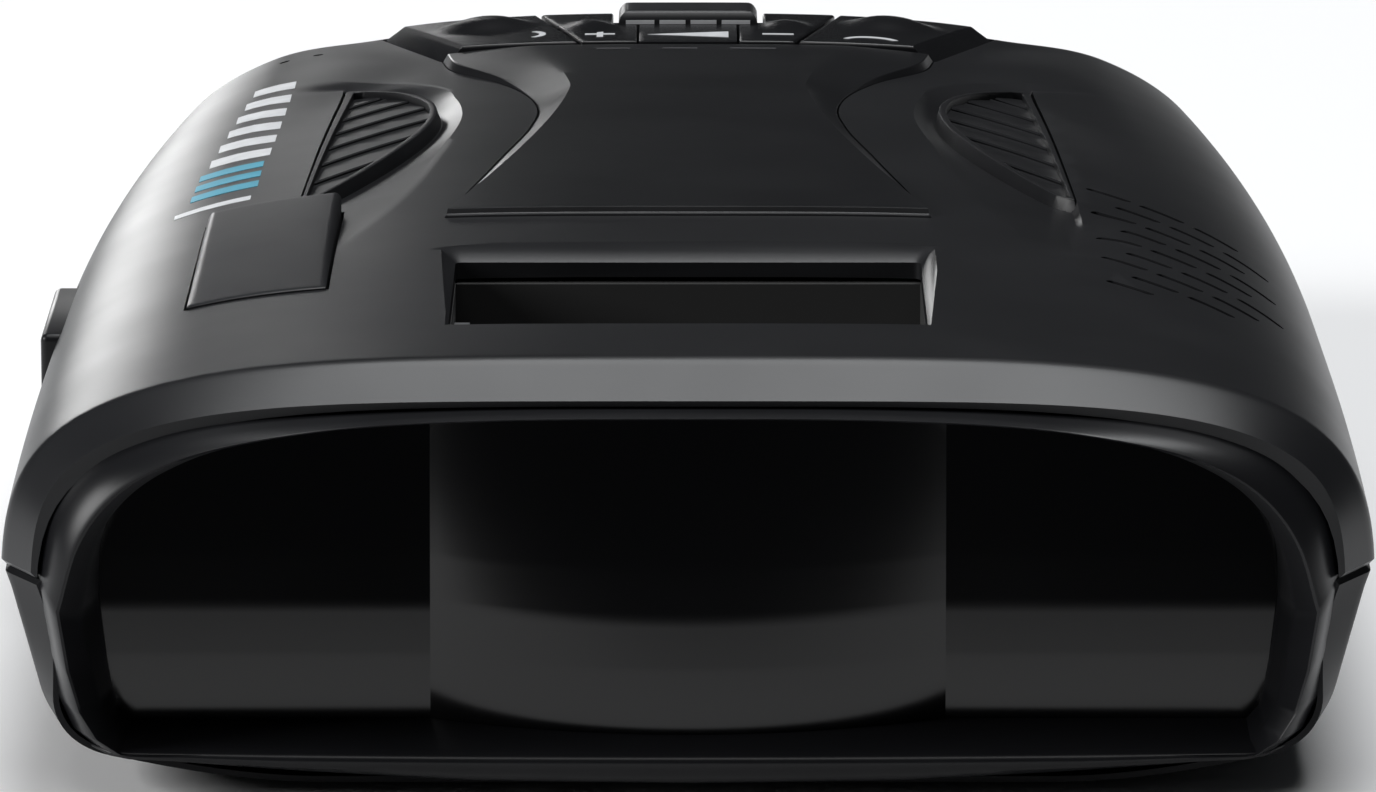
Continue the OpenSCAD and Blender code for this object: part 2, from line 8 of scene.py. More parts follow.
import bpy
import numpy as np
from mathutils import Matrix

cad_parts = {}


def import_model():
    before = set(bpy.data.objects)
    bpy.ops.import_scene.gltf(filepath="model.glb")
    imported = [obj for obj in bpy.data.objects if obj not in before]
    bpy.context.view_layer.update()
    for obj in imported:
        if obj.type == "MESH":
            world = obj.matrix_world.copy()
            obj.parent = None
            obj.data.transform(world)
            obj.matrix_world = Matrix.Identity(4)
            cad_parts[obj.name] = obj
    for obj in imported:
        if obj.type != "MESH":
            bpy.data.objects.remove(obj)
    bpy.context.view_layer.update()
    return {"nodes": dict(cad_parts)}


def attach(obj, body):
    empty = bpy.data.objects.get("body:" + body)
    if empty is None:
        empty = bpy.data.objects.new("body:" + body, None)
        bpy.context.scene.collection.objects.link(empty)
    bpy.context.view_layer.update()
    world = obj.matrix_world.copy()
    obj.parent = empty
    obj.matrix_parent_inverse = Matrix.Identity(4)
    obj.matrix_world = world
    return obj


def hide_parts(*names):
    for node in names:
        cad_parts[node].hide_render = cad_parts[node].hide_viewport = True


# A windshield radar detector: every piece is drawn in millimetres as (x, s, z), where s counts from the
# mouth rim towards the driver's end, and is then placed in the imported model's frame in metres.

MM = 0.001
CENTRE_S = 67.2
REPORT = logging.getLogger("radar_detector")
Piece = bpy.types.Object
Outline = Sequence[tuple[float, float]]
Surface = Callable[[np.ndarray, np.ndarray], np.ndarray]


# --- shaping by hand

def put_down() -> None:
    """Leave edit mode and select nothing."""
    if bpy.context.object and bpy.context.object.mode != "OBJECT":
        bpy.ops.object.mode_set(mode="OBJECT")
    bpy.ops.object.select_all(action="DESELECT")


def pick_up(piece: Piece) -> Piece:
    """Make a piece the only selected and active one."""
    put_down()
    piece.select_set(True)
    bpy.context.view_layer.objects.active = piece
    return piece


def points_of(piece: Piece) -> np.ndarray:
    """A piece's vertices as rows of (x, s, z) in millimetres."""
    flat = np.empty(len(piece.data.vertices) * 3)
    piece.data.vertices.foreach_get("co", flat)
    points = flat.reshape(-1, 3) / MM
    points[:, 1] += CENTRE_S
    return points


def place(piece: Piece, points: np.ndarray) -> Piece:
    """Move a piece's vertices to rows of (x, s, z) in millimetres."""
    moved = np.array(points, float).reshape(-1, 3)
    moved[:, 1] -= CENTRE_S
    piece.data.vertices.foreach_set("co", (moved * MM).reshape(-1))
    piece.data.update()
    return piece


def edit_all(piece: Piece) -> None:
    """Open a piece in edit mode with all of it selected."""
    pick_up(piece)
    bpy.ops.object.mode_set(mode="EDIT")
    bpy.ops.mesh.select_all(action="SELECT")


def stand(loop: np.ndarray, s: float) -> np.ndarray:
    """A loop of (x, z) stood up at a station."""
    return np.column_stack([loop[:, 0], np.full(len(loop), s), loop[:, 1]])


def lay(outline: Outline, z: float) -> np.ndarray:
    """An outline of (x, s) laid at a height."""
    return np.column_stack([np.array(outline, float), np.full(len(outline), z)])


def oblong(x0: float, s0: float, x1: float, s1: float) -> Outline:
    """The outline of a rectangle between two corners."""
    return [(x0, s0), (x1, s0), (x1, s1), (x0, s1)]


def arc(centre: Sequence[float], radii: Sequence[float], first: float, last: float, count: int) -> Outline:
    """Points along part of an ellipse, between two angles."""
    return [(centre[0] + radii[0] * math.cos(a), centre[1] + radii[1] * math.sin(a))
            for a in np.linspace(first, last, count)]


def sided(outline: Outline, side: int) -> Outline:
    """An outline drawn on the right, as it is or mirrored to the left."""
    return list(outline) if side > 0 else [(-x, y) for x, y in outline][::-1]


def slant(degrees: float) -> tuple[np.ndarray, np.ndarray]:
    """The directions along and across a slanted line."""
    along = np.array([math.cos(math.radians(degrees)), math.sin(math.radians(degrees))])
    return along, np.array([-along[1], along[0]])


def loft(name: str, rings: Sequence, filled: bool = True) -> Piece:
    """Shape a grid primitive into a closed tube through rings.

    Args:
        name: The piece's name.
        rings: Points as (ring, place round the ring, x s z), in millimetres.
        filled: Fill both ends, or else join the last ring to the first.

    Returns:
        The closed piece, with its faces outwards.
    """
    grid = np.asarray(rings, float)
    if not filled:
        grid = np.concatenate([grid, grid[:1]])
    grid = np.concatenate([grid, grid[:, :1]], axis=1)
    put_down()
    bpy.ops.mesh.primitive_grid_add(x_subdivisions=grid.shape[1] - 1, y_subdivisions=grid.shape[0] - 1, size=1)
    piece = bpy.context.active_object
    piece.name = name
    edit_all(place(piece, grid))
    bpy.ops.mesh.remove_doubles(threshold=1e-7)
    if filled:
        bpy.ops.mesh.fill_holes(sides=0)
        bpy.ops.mesh.select_all(action="SELECT")
    bpy.ops.mesh.normals_make_consistent(inside=False)
    put_down()
    return piece


def prism(name: str, outline: Outline, low: float, high: float) -> Piece:
    """A straight block on an outline seen from above, between two heights."""
    return loft(name, [lay(outline, z) for z in (low, high)])


def across(name: str, outline: np.ndarray, front: float, back: float) -> Piece:
    """A straight block on an outline seen from the front, between two stations."""
    return loft(name, [stand(outline, s) for s in (front, back)])


def box(name: str, low: Sequence[float], high: Sequence[float]) -> Piece:
    """A block between two corners, as a start for cutting and bevelling."""
    return prism(name, oblong(low[0], low[1], high[0], high[1]), low[2], high[2])


def drum(name: str, centre: Sequence[float], radius: float, depth: float, turn: Sequence[float] = (0, 0, 0),
         sides: int = 48) -> Piece:
    """A round bar centred on a point, turned by Euler angles in degrees, with its place in its mesh."""
    put_down()
    bpy.ops.mesh.primitive_cylinder_add(
        vertices=sides, radius=radius * MM, depth=depth * MM,
        location=(centre[0] * MM, (centre[1] - CENTRE_S) * MM, centre[2] * MM),
        rotation=[math.radians(angle) for angle in turn])
    piece = bpy.context.active_object
    piece.name = name
    bpy.ops.object.transform_apply(location=True, rotation=True, scale=True)
    return piece


def apply_modifier(piece: Piece, kind: str, **settings: object) -> Piece:
    """Add one modifier to a piece and apply it."""
    pick_up(piece)
    modifier = piece.modifiers.new(kind.lower(), kind)
    for key, value in settings.items():
        setattr(modifier, key, value)
    bpy.ops.object.modifier_apply(modifier=modifier.name)
    return piece


def combine(piece: Piece, tools: Sequence[Piece], operation: str = "DIFFERENCE") -> Piece:
    """Cut, join or clip a piece with each tool in turn, and clear the tools away.

    Args:
        piece: The closed piece to work on.
        tools: The closed pieces to work with.
        operation: DIFFERENCE, UNION or INTERSECT.

    Returns:
        The same piece.
    """
    for tool in tools:
        backup = piece.data.copy()
        apply_modifier(piece, "BOOLEAN", operation=operation, object=tool, solver="MANIFOLD")
        if not piece.data.polygons:
            piece.data = backup
            apply_modifier(piece, "BOOLEAN", operation=operation, object=tool, solver="EXACT")
        bpy.data.objects.remove(tool)
    return piece


def gather(name: str, parts: Sequence[Piece]) -> Piece:
    """Join pieces that don't touch into one."""
    put_down()
    for part in parts:
        part.select_set(True)
    bpy.context.view_layer.objects.active = parts[0]
    bpy.ops.object.join()
    parts[0].name = name
    return parts[0]


def chamfer(piece: Piece, width: float, segments: int = 3, angle: float = 40) -> Piece:
    """Round the edges that turn more than an angle."""
    return apply_modifier(piece, "BEVEL", width=width * MM, segments=segments, limit_method="ANGLE",
                          angle_limit=math.radians(angle), harden_normals=False)


def round_top(slab: Piece, width: float, profile: float = 0.5) -> Piece:
    """Round the edges of a slab's top."""
    edit_all(slab)
    bpy.ops.mesh.select_mode(type="EDGE")
    bpy.ops.mesh.select_all(action="DESELECT")
    put_down()
    ends = slab.data.vertices
    for line in slab.data.edges:
        line.select = all(ends[i].co.z > 0 for i in line.vertices)
    slab.select_set(True)
    bpy.ops.object.mode_set(mode="EDIT")
    bpy.ops.mesh.bevel(offset=width * MM, segments=5, profile=profile)
    put_down()
    return slab


def slice_up(piece: Piece, step: float) -> Piece:
    """Cut a piece's faces along lines a step apart both ways, so it can bend with a skin."""
    points = points_of(piece)
    edit_all(piece)
    for axis in (0, 1):
        low, high = points[:, axis].min(), points[:, axis].max()
        for at in np.arange(low + step * 0.53, high, step):
            where, normal = [0.0] * 3, [0.0] * 3
            where[axis] = (at - (CENTRE_S if axis else 0)) * MM
            normal[axis] = 1.0
            bpy.ops.mesh.select_all(action="SELECT")
            bpy.ops.mesh.bisect(plane_co=where, plane_no=normal)
    put_down()
    return piece


def reshape(piece: Piece, rule: Callable[[np.ndarray], np.ndarray]) -> Piece:
    """Move every vertex by a rule on rows of (x, s, z)."""
    return place(piece, rule(points_of(piece)))


def drape(piece: Piece, surface: Surface, step: float = 0.0) -> Piece:
    """Lay a flat piece, drawn about height nought, on a surface, after slicing it up at a step."""
    points = points_of(slice_up(piece, step) if step else piece)
    points[:, 2] += surface(points[:, 0], points[:, 1])
    return place(piece, points)


def hermite(t: np.ndarray, ends: Sequence, slopes: Sequence, span: np.ndarray | float = 1.0) -> np.ndarray:
    """Values at shares t of a smooth stretch between two ends with known slopes."""
    return ((2 * t**3 - 3 * t**2 + 1) * ends[0] + (t**3 - 2 * t**2 + t) * span * slopes[0]
            + (3 * t**2 - 2 * t**3) * ends[1] + (t**3 - t**2) * span * slopes[1])


def smooth_path(knots: Sequence[tuple[float, float]], at: np.ndarray | float) -> np.ndarray:
    """Values on a smooth curve through (station, value) knots, level beyond both ends."""
    place_at, value = np.array(knots, float).T
    slope = np.gradient(value, place_at)
    at = np.clip(np.asarray(at, float), place_at[0], place_at[-1])
    k = np.clip(np.searchsorted(place_at, at, side="right") - 1, 0, len(place_at) - 2)
    span = place_at[k + 1] - place_at[k]
    return hermite((at - place_at[k]) / span, (value[k], value[k + 1]), (slope[k], slope[k + 1]), span)


def ease(value: np.ndarray | float) -> np.ndarray:
    """A soft step from nought to one."""
    t = np.clip(value, 0, 1)
    return t * t * (3 - 2 * t)


# --- finishes

class Texture(Enum):
    """How a surface is moulded or made, with the scales, per metre, of its grain and of its broad variation."""
    SPARK = (5200.0, 90.0)
    SATIN = (7500.0, 120.0)
    POLISHED = (900.0, 60.0)
    DRAWN = (9000.0, 300.0)
    CAST = (2400.0, 160.0)
    PRINT = (6000.0, 800.0)


def add_node(tree: bpy.types.NodeTree, kind: str, output: str, sockets: dict,
             **settings: str) -> bpy.types.NodeSocket:
    """Add a shader node.

    Args:
        tree: The material's node tree.
        kind: The node's kind, without its prefix.
        output: Which of its outputs to hand back.
        sockets: A value or another node's output for each input.
        settings: Its other settings.

    Returns:
        The output.
    """
    node = tree.nodes.new("ShaderNode" + kind)
    for key, value in settings.items():
        setattr(node, key, value)
    for key, value in sockets.items():
        if isinstance(value, bpy.types.NodeSocket):
            tree.links.new(value, node.inputs[key])
        else:
            node.inputs[key].default_value = value
    return node.outputs[output]


@dataclass(frozen=True)
class Finish:
    """A procedural finish.

    Attributes:
        name: The material's name.
        colour: Linear base colour.
        rough: Middle roughness.
        texture: The kind of surface.
        grain: Height of the surface texture, in millimetres.
        metal: How metallic it is.
        specular: The specular level.
        wear: How much lighter the worn edges are.
    """
    name: str
    colour: tuple[float, float, float]
    rough: float
    texture: Texture
    grain: float = 0.004
    metal: float = 0.0
    specular: float = 0.5
    wear: float = 0.25

    def material(self) -> bpy.types.Material:
        """Build the material once, and hand back the same one after that."""
        known = bpy.data.materials.get(self.name)
        if known:
            return known
        made = bpy.data.materials.new(self.name)
        made.use_nodes = True
        tree = made.node_tree
        shader = tree.nodes["Principled BSDF"].inputs
        shader["Metallic"].default_value = self.metal
        shader["Specular IOR Level"].default_value = self.specular
        add = partial(add_node, tree)

        def spread(source: bpy.types.NodeSocket, *limits: float) -> bpy.types.NodeSocket:
            """A value mapped from one range to another."""
            names = ("From Min", "From Max", "To Min", "To Max")
            return add("MapRange", "Result", {**dict(zip(names, limits)), "Value": source})

        place_at = add("TexCoord", "Object", {})
        fine, broad = self.texture.value
        grain = add("TexNoise", "Fac", {"Scale": fine, "Detail": 3.0, "Vector": place_at})
        cloud = add("TexNoise", "Fac", {"Scale": broad, "Detail": 2.0, "Vector": place_at})
        base = add("Mix", "Result", {"Factor": 1.0, "A": (*self.colour, 1), "B": spread(cloud, 0.3, 0.7, 0.92, 1.08)},
                   data_type="RGBA", blend_type="MULTIPLY")
        edge = spread(add("NewGeometry", "Pointiness", {}), 0.52, 0.60, 0.0, self.wear)
        worn = (*(min(1.0, c * 2.2 + 0.02) for c in self.colour), 1)
        share = add("Math", "Value", {0: edge, 1: cloud}, operation="MULTIPLY")
        colour = add("Mix", "Result", {"A": base, "B": worn, "Factor": share}, data_type="RGBA")
        tree.links.new(colour, shader["Base Color"])
        swing = 0.01 if self.texture is Texture.POLISHED else 0.02
        low, high = max(0.02, self.rough - swing), min(1.0, self.rough + swing)
        tree.links.new(spread(cloud, 0.25, 0.75, low, high), shader["Roughness"])
        bump = add("Bump", "Normal", {"Strength": 0.6, "Distance": self.grain * MM, "Height": grain})
        tree.links.new(bump, shader["Normal"])
        return made


SHELL = Finish("moulded_shell", (0.0125, 0.0128, 0.0142), 0.34, Texture.SPARK, specular=0.24)
LOWER = Finish("moulded_lower_shell", (0.0085, 0.0087, 0.0097), 0.40, Texture.SPARK, specular=0.09)
TRIM = Finish("satin_trim", (0.008, 0.0082, 0.0094), 0.32, Texture.SATIN, 0.002, specular=0.24)
WINDOW = Finish("smoked_window", (0.002, 0.002, 0.0024), 0.10, Texture.POLISHED, 0.0004, specular=0.38, wear=0)
CAP = Finish("satin_cap", (0.01, 0.0102, 0.0114), 0.30, Texture.SATIN, 0.003, specular=0.24)
KEYS = Finish("satin_keys", (0.0085, 0.0087, 0.0098), 0.26, Texture.SATIN, 0.002, specular=0.26)
BUTTON = Finish("satin_button", (0.014, 0.0143, 0.0158), 0.38, Texture.SATIN, 0.003, specular=0.26)
GRILLE = Finish("dark_grille", (0.009, 0.0092, 0.0104), 0.38, Texture.SATIN, 0.003, specular=0.24)
INNER = Finish("inner_plastic", (0.015, 0.015, 0.0165), 0.45, Texture.SPARK, 0.006)
RUBBER = Finish("grey_silicone", (0.035, 0.035, 0.037), 0.75, Texture.SPARK, 0.008)
WHITE_PRINT = Finish("white_print", (0.62, 0.63, 0.65), 0.45, Texture.PRINT, 0.001, wear=0)
FAINT_PRINT = Finish("faint_print", (0.045, 0.045, 0.05), 0.5, Texture.PRINT, 0.001, wear=0)
BLUE_PRINT = Finish("blue_print", (0.045, 0.30, 0.42), 0.45, Texture.PRINT, 0.001, wear=0)
BOARD = Finish("solder_mask", (0.012, 0.085, 0.04), 0.35, Texture.SATIN)
FILM = Finish("amber_film", (0.42, 0.17, 0.035), 0.30, Texture.SATIN, 0.002)
TINNED = Finish("tinned_metal", (0.58, 0.58, 0.56), 0.30, Texture.DRAWN, 0.002, metal=1)
PLATED = Finish("plated_steel", (0.52, 0.53, 0.55), 0.34, Texture.DRAWN, 0.003, metal=1)
CASTING = Finish("cast_alloy", (0.46, 0.47, 0.49), 0.48, Texture.CAST, 0.012, metal=1)
RED_LENS = Finish("red_acrylic", (0.1, 0.006, 0.01), 0.08, Texture.POLISHED, 0.0004, wear=0)
LABEL = Finish("blank_label", (0.05, 0.05, 0.055), 0.50, Texture.PRINT, 0.002, wear=0)


def dress(piece: Piece, finish: Finish) -> None:
    """Give a piece one finish all over."""
    piece.data.materials.clear()
    piece.data.materials.append(finish.material())


def hand_over(piece: Piece, finish: Finish, nodes: Sequence[str] = (), body: str = "chassis",
              smooth: float = 32.0) -> Piece:
    """Shade, dress and attach a finished piece.

    Args:
        piece: The piece, with its place in its mesh.
        finish: Its finish.
        nodes: The CAD nodes that it stands for.
        body: The CAD body that it rides on.
        smooth: Edges that turn more than this many degrees stay crisp.

    Returns:
        The same piece.
    """
    pick_up(piece)
    bpy.ops.object.shade_smooth_by_angle(angle=math.radians(smooth))
    dress(piece, finish)
    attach(piece, body)
    if nodes:
        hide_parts(*nodes)
    REPORT.info("%s: %d faces on %s", piece.name, len(piece.data.polygons), body)
    return piece


# --- the form that every piece follows

@dataclass(frozen=True)
class Form:
    """The two shells' form and the lines on the top, in millimetres."""
    side_half: float = 44.5
    overhang: float = 0.3
    front_in: float = 0.5
    front_d: float = 40.0
    rear_in: float = 3.75
    rear_s: float = 60.0
    rear_d: float = 75.5
    crest_z: float = 27.8
    fall: float = 2.05
    fall_s: float = 20.0
    fall_d: float = 115.5
    waist_s: float = 98.0
    waist_half: float = 8.7
    crown_z: float = 9.0
    seam_z: float = 14.0
    seam_gap: float = 0.1
    shell_l: float = 135.5
    body_l: float = 138.0
    chamfer_d: float = 3.7
    chamfer_in: float = 2.1
    ridge: float = 0.35
    front_square: float = 0.55
    rear_r: float = 3.0
    lean: float = 15.0
    corner_r: float = 5.8
    corner_z: float = 7.5
    belly_x: float = 24.0
    cap_s: tuple[float, float] = (49, 118.8)
    cap_line: tuple = ((40, 17.7), (49.6, 16.5), (69, 13.4), (82.7, 11.4), (90.8, 11), (97.2, 11.7),
                       (105.9, 14.1), (114.1, 18), (119.6, 18.9), (133.5, 24.1))
    crest_line: tuple = ((0, 23.6), (40.6, 23.4), (55.3, 20), (73.9, 17.7), (91.9, 16.6), (98.4, 17.2),
                         (106, 18.9), (108.8, 20.9), (110.6, 23.2), (111.8, 25.4), (136, 26.6))
    depth_line: tuple = ((38, 0), (41, 0.25), (50, 0.8), (58, 1.05), (70, 1.2), (90, 1.2),
                         (104, 1.05), (108.5, 0.6), (111.9, 0), (136, 0))
    lower_line: tuple = ((0, 0), (60, 0), (80, 0.12), (95, 0.5), (106, 0.85), (118, 1),
                         (130, 0.8), (136, 0.5))
    lower_from: tuple = ((0, 25), (104, 25), (119, 19.4), (133, 24), (138, 25))
    lower_over: tuple = ((0, 8), (104, 8), (119, 13), (133, 8.2), (138, 7))
    vent_s: tuple[float, float] = (58, 108.1)
    vent_x: float = 26.4
    vent_bow: float = 8.2
    vent_out: float = 27.2

    def half_w(self, s: np.ndarray | float) -> np.ndarray:
        """Half the lower shell's width at the seam."""
        s = np.asarray(s, float)
        front = self.front_in * np.maximum(0, 1 - s / self.front_d)**2
        return self.side_half - front - self.rear_in * np.maximum(0, (s - self.rear_s) / self.rear_d)**2

    def top_z(self, s: np.ndarray | float) -> np.ndarray:
        """Height of the top along the middle."""
        return self.crest_z - self.fall * np.maximum(0, (np.asarray(s, float) - self.fall_s) / self.fall_d)**2

    def squareness(self, s: np.ndarray | float) -> np.ndarray:
        """The exponent of the upper section's arch."""
        return 4 - 1.2 * np.asarray(s, float) / self.body_l

    def edge_in(self, s: float) -> float:
        """How far a section steps in at the mouth's band and at the rounded rear end."""
        slope = self.chamfer_in / self.chamfer_d
        if s < self.chamfer_d - self.ridge:
            return slope * (self.chamfer_d - s)
        if s < self.chamfer_d + self.ridge:
            return slope / (4 * self.ridge) * (self.chamfer_d + self.ridge - s)**2
        over = s - self.shell_l + self.rear_r
        return self.rear_r - math.sqrt(max(0.0, self.rear_r**2 - over**2)) if over > 0 else 0.0

    def arch(self, s: float, grow: float = 0.0) -> tuple[float, float, float]:
        """An upper section's half width, its height over the crown line and its exponent."""
        return (float(self.half_w(s)) + self.overhang + grow, float(self.top_z(s)) + grow - self.crown_z,
                float(self.squareness(s)))

    def upper_ring(self, s: float, grow: float, base: float, steps: int = 40) -> np.ndarray:
        """A plain upper section down to a base height, as (x, z)."""
        w, h, n = self.arch(s, grow)
        foot = math.asin(((base - self.crown_z) / h)**(n / 2))
        t = np.linspace(foot, math.pi - foot, steps)
        c = np.cos(t)
        return np.column_stack([np.sign(c) * w * np.abs(c)**(2 / n), self.crown_z + h * np.sin(t)**(2 / n)])

    def arch_z(self, x: np.ndarray, s: np.ndarray, grow: float = 0.0) -> np.ndarray:
        """Height of the plain arch over a point, as the CAD has it."""
        w = self.half_w(s) + self.overhang + grow
        n = self.squareness(s)
        inside = np.clip(1 - (np.abs(x) / w)**n, 0.0, 1.0)
        return self.crown_z + (self.top_z(s) + grow - self.crown_z) * inside**(1 / n)

    def vent_inner(self, s: np.ndarray | float) -> np.ndarray:
        """The vent's bowed inner side."""
        front, back = self.vent_s
        return self.bow((back - np.asarray(s, float)) / (back - front))

    def bow(self, share: np.ndarray | float) -> np.ndarray:
        """The bowed side at a share of the vent's length from its rear."""
        t = np.clip(share, 0.0, 1.0)
        return self.vent_x - self.vent_bow * np.maximum(np.sin(np.pi * t**0.62), 0)**0.8

    def vent_outer(self, s: np.ndarray | float) -> np.ndarray:
        """The vent's straight outer side."""
        return self.vent_out - 1.3 * (np.asarray(s, float) - 58) / 50.1

    def lowered(self, x: np.ndarray, s: np.ndarray) -> np.ndarray:
        """How far the shoulders lie under the plain arch."""
        start, over = smooth_path(self.lower_from, s), smooth_path(self.lower_over, s)
        over = np.minimum(over, 0.8 * self.half_w(s) - 0.2 - start)
        return np.maximum(smooth_path(self.lower_line, s), 0) * (1 - ease((np.abs(x) - start) / over))

    def shoulder_z(self, x: np.ndarray, s: np.ndarray) -> np.ndarray:
        """Height of the shoulders, without the valleys beside the vents."""
        return self.arch_z(x, s) - self.lowered(x, s)

    def valley_lines(self, s: np.ndarray | float) -> tuple[np.ndarray, ...]:
        """The valley's crest and foot, and the vent's inner and outer sides."""
        crest, outer = smooth_path(self.crest_line, s), self.vent_outer(s)
        inner = np.minimum(self.vent_inner(s), outer - 0.1)
        return crest, np.maximum(crest + 0.3, inner - 0.15), inner, outer

    def valley(self, x: np.ndarray, s: np.ndarray) -> np.ndarray:
        """How far the valley along the vent's inner side lies under the shoulder."""
        x = np.abs(np.asarray(x, float))
        crest, foot, _, outer = self.valley_lines(s)
        depth = 0.85 * np.maximum(smooth_path(self.depth_line, s), 0)
        fall = np.clip((x - crest) / (foot - crest), 0, 1)
        front = ease((self.vent_s[0] - s) / 8)
        behind = ease((s - self.vent_s[1]) / 2)
        step = np.clip((outer - x) / np.maximum(outer - foot, 0.05) * 4, 0, 1)
        spread = 1 - ease((x - foot) / (31 - foot))
        soft = np.maximum(front, behind)
        return depth * fall * np.where(x > foot, (1 - soft) * step + soft * spread, 1.0)

    def deck_z(self, x: np.ndarray, s: np.ndarray) -> np.ndarray:
        """Height of the shell's own top."""
        return self.shoulder_z(x, s) - self.valley(x, s)

    def inlay_half(self, s: np.ndarray | float) -> np.ndarray:
        """Half width of the cap's level middle."""
        s = np.asarray(s, float)
        past = s - self.waist_s
        t = np.abs(past / 49)
        return self.waist_half + np.where(past < 0, 7.844 * t**1.5, 10.6 * t**2.3 + 0.09 * past)

    def vent_outline(self, grow: float = 0.0, steps: int = 40) -> list[tuple[float, float]]:
        """The right vent's outline, grown outward."""
        front, back = self.vent_s
        bowed = [(float(self.bow(t)) - grow, back - (back - front) * t) for t in np.linspace(0.05, 0.97, steps)]
        return [(self.vent_out + grow * 0.6, front - 2.6 * grow), (25.9 + grow, back + grow), (24.4, back + grow),
                *bowed]

    def lower_half(self, s: float, grow: float, base: float) -> np.ndarray:
        """The lower shell's right side from the seam down to the middle, as (x, z)."""
        lean = math.radians(self.lean)
        foot = float(self.half_w(s))
        r = self.corner_r + grow
        cx = foot - (self.seam_z - self.corner_z + self.corner_r * math.sin(lean)) * math.tan(lean) \
            - self.corner_r * math.cos(lean)
        side = [(foot + grow / math.cos(lean) - (self.seam_z - base) * math.tan(lean), base)]
        top = side[0]
        arc = [(cx + r * math.cos(a), self.corner_z + r * math.sin(a))
               for a in np.radians(np.linspace(-self.lean, -84, 15))]
        straight = [(top[0] + (arc[0][0] - top[0]) * t, top[1] + (arc[0][1] - top[1]) * t)
                    for t in np.linspace(0, 1, 7)[:-1]]
        last = arc[-1]
        sweep = [(last[0] + (self.belly_x - last[0]) * t, -grow + (last[1] + grow) * (1 - t)**1.7)
                 for t in np.linspace(0, 1, 9)[1:]]
        flat = [(self.belly_x * t, -grow) for t in np.linspace(1, 0, 7)[1:-1]]
        return np.array(straight + arc + sweep + flat)

    def lower_ring(self, s: float, grow: float, base: float) -> np.ndarray:
        """The lower shell's whole section, as (x, z)."""
        half = self.lower_half(s, grow, base)
        return np.concatenate([half, [(0.0, -grow)], half[::-1] * (-1, 1)])


FORM = Form()


# --- shells

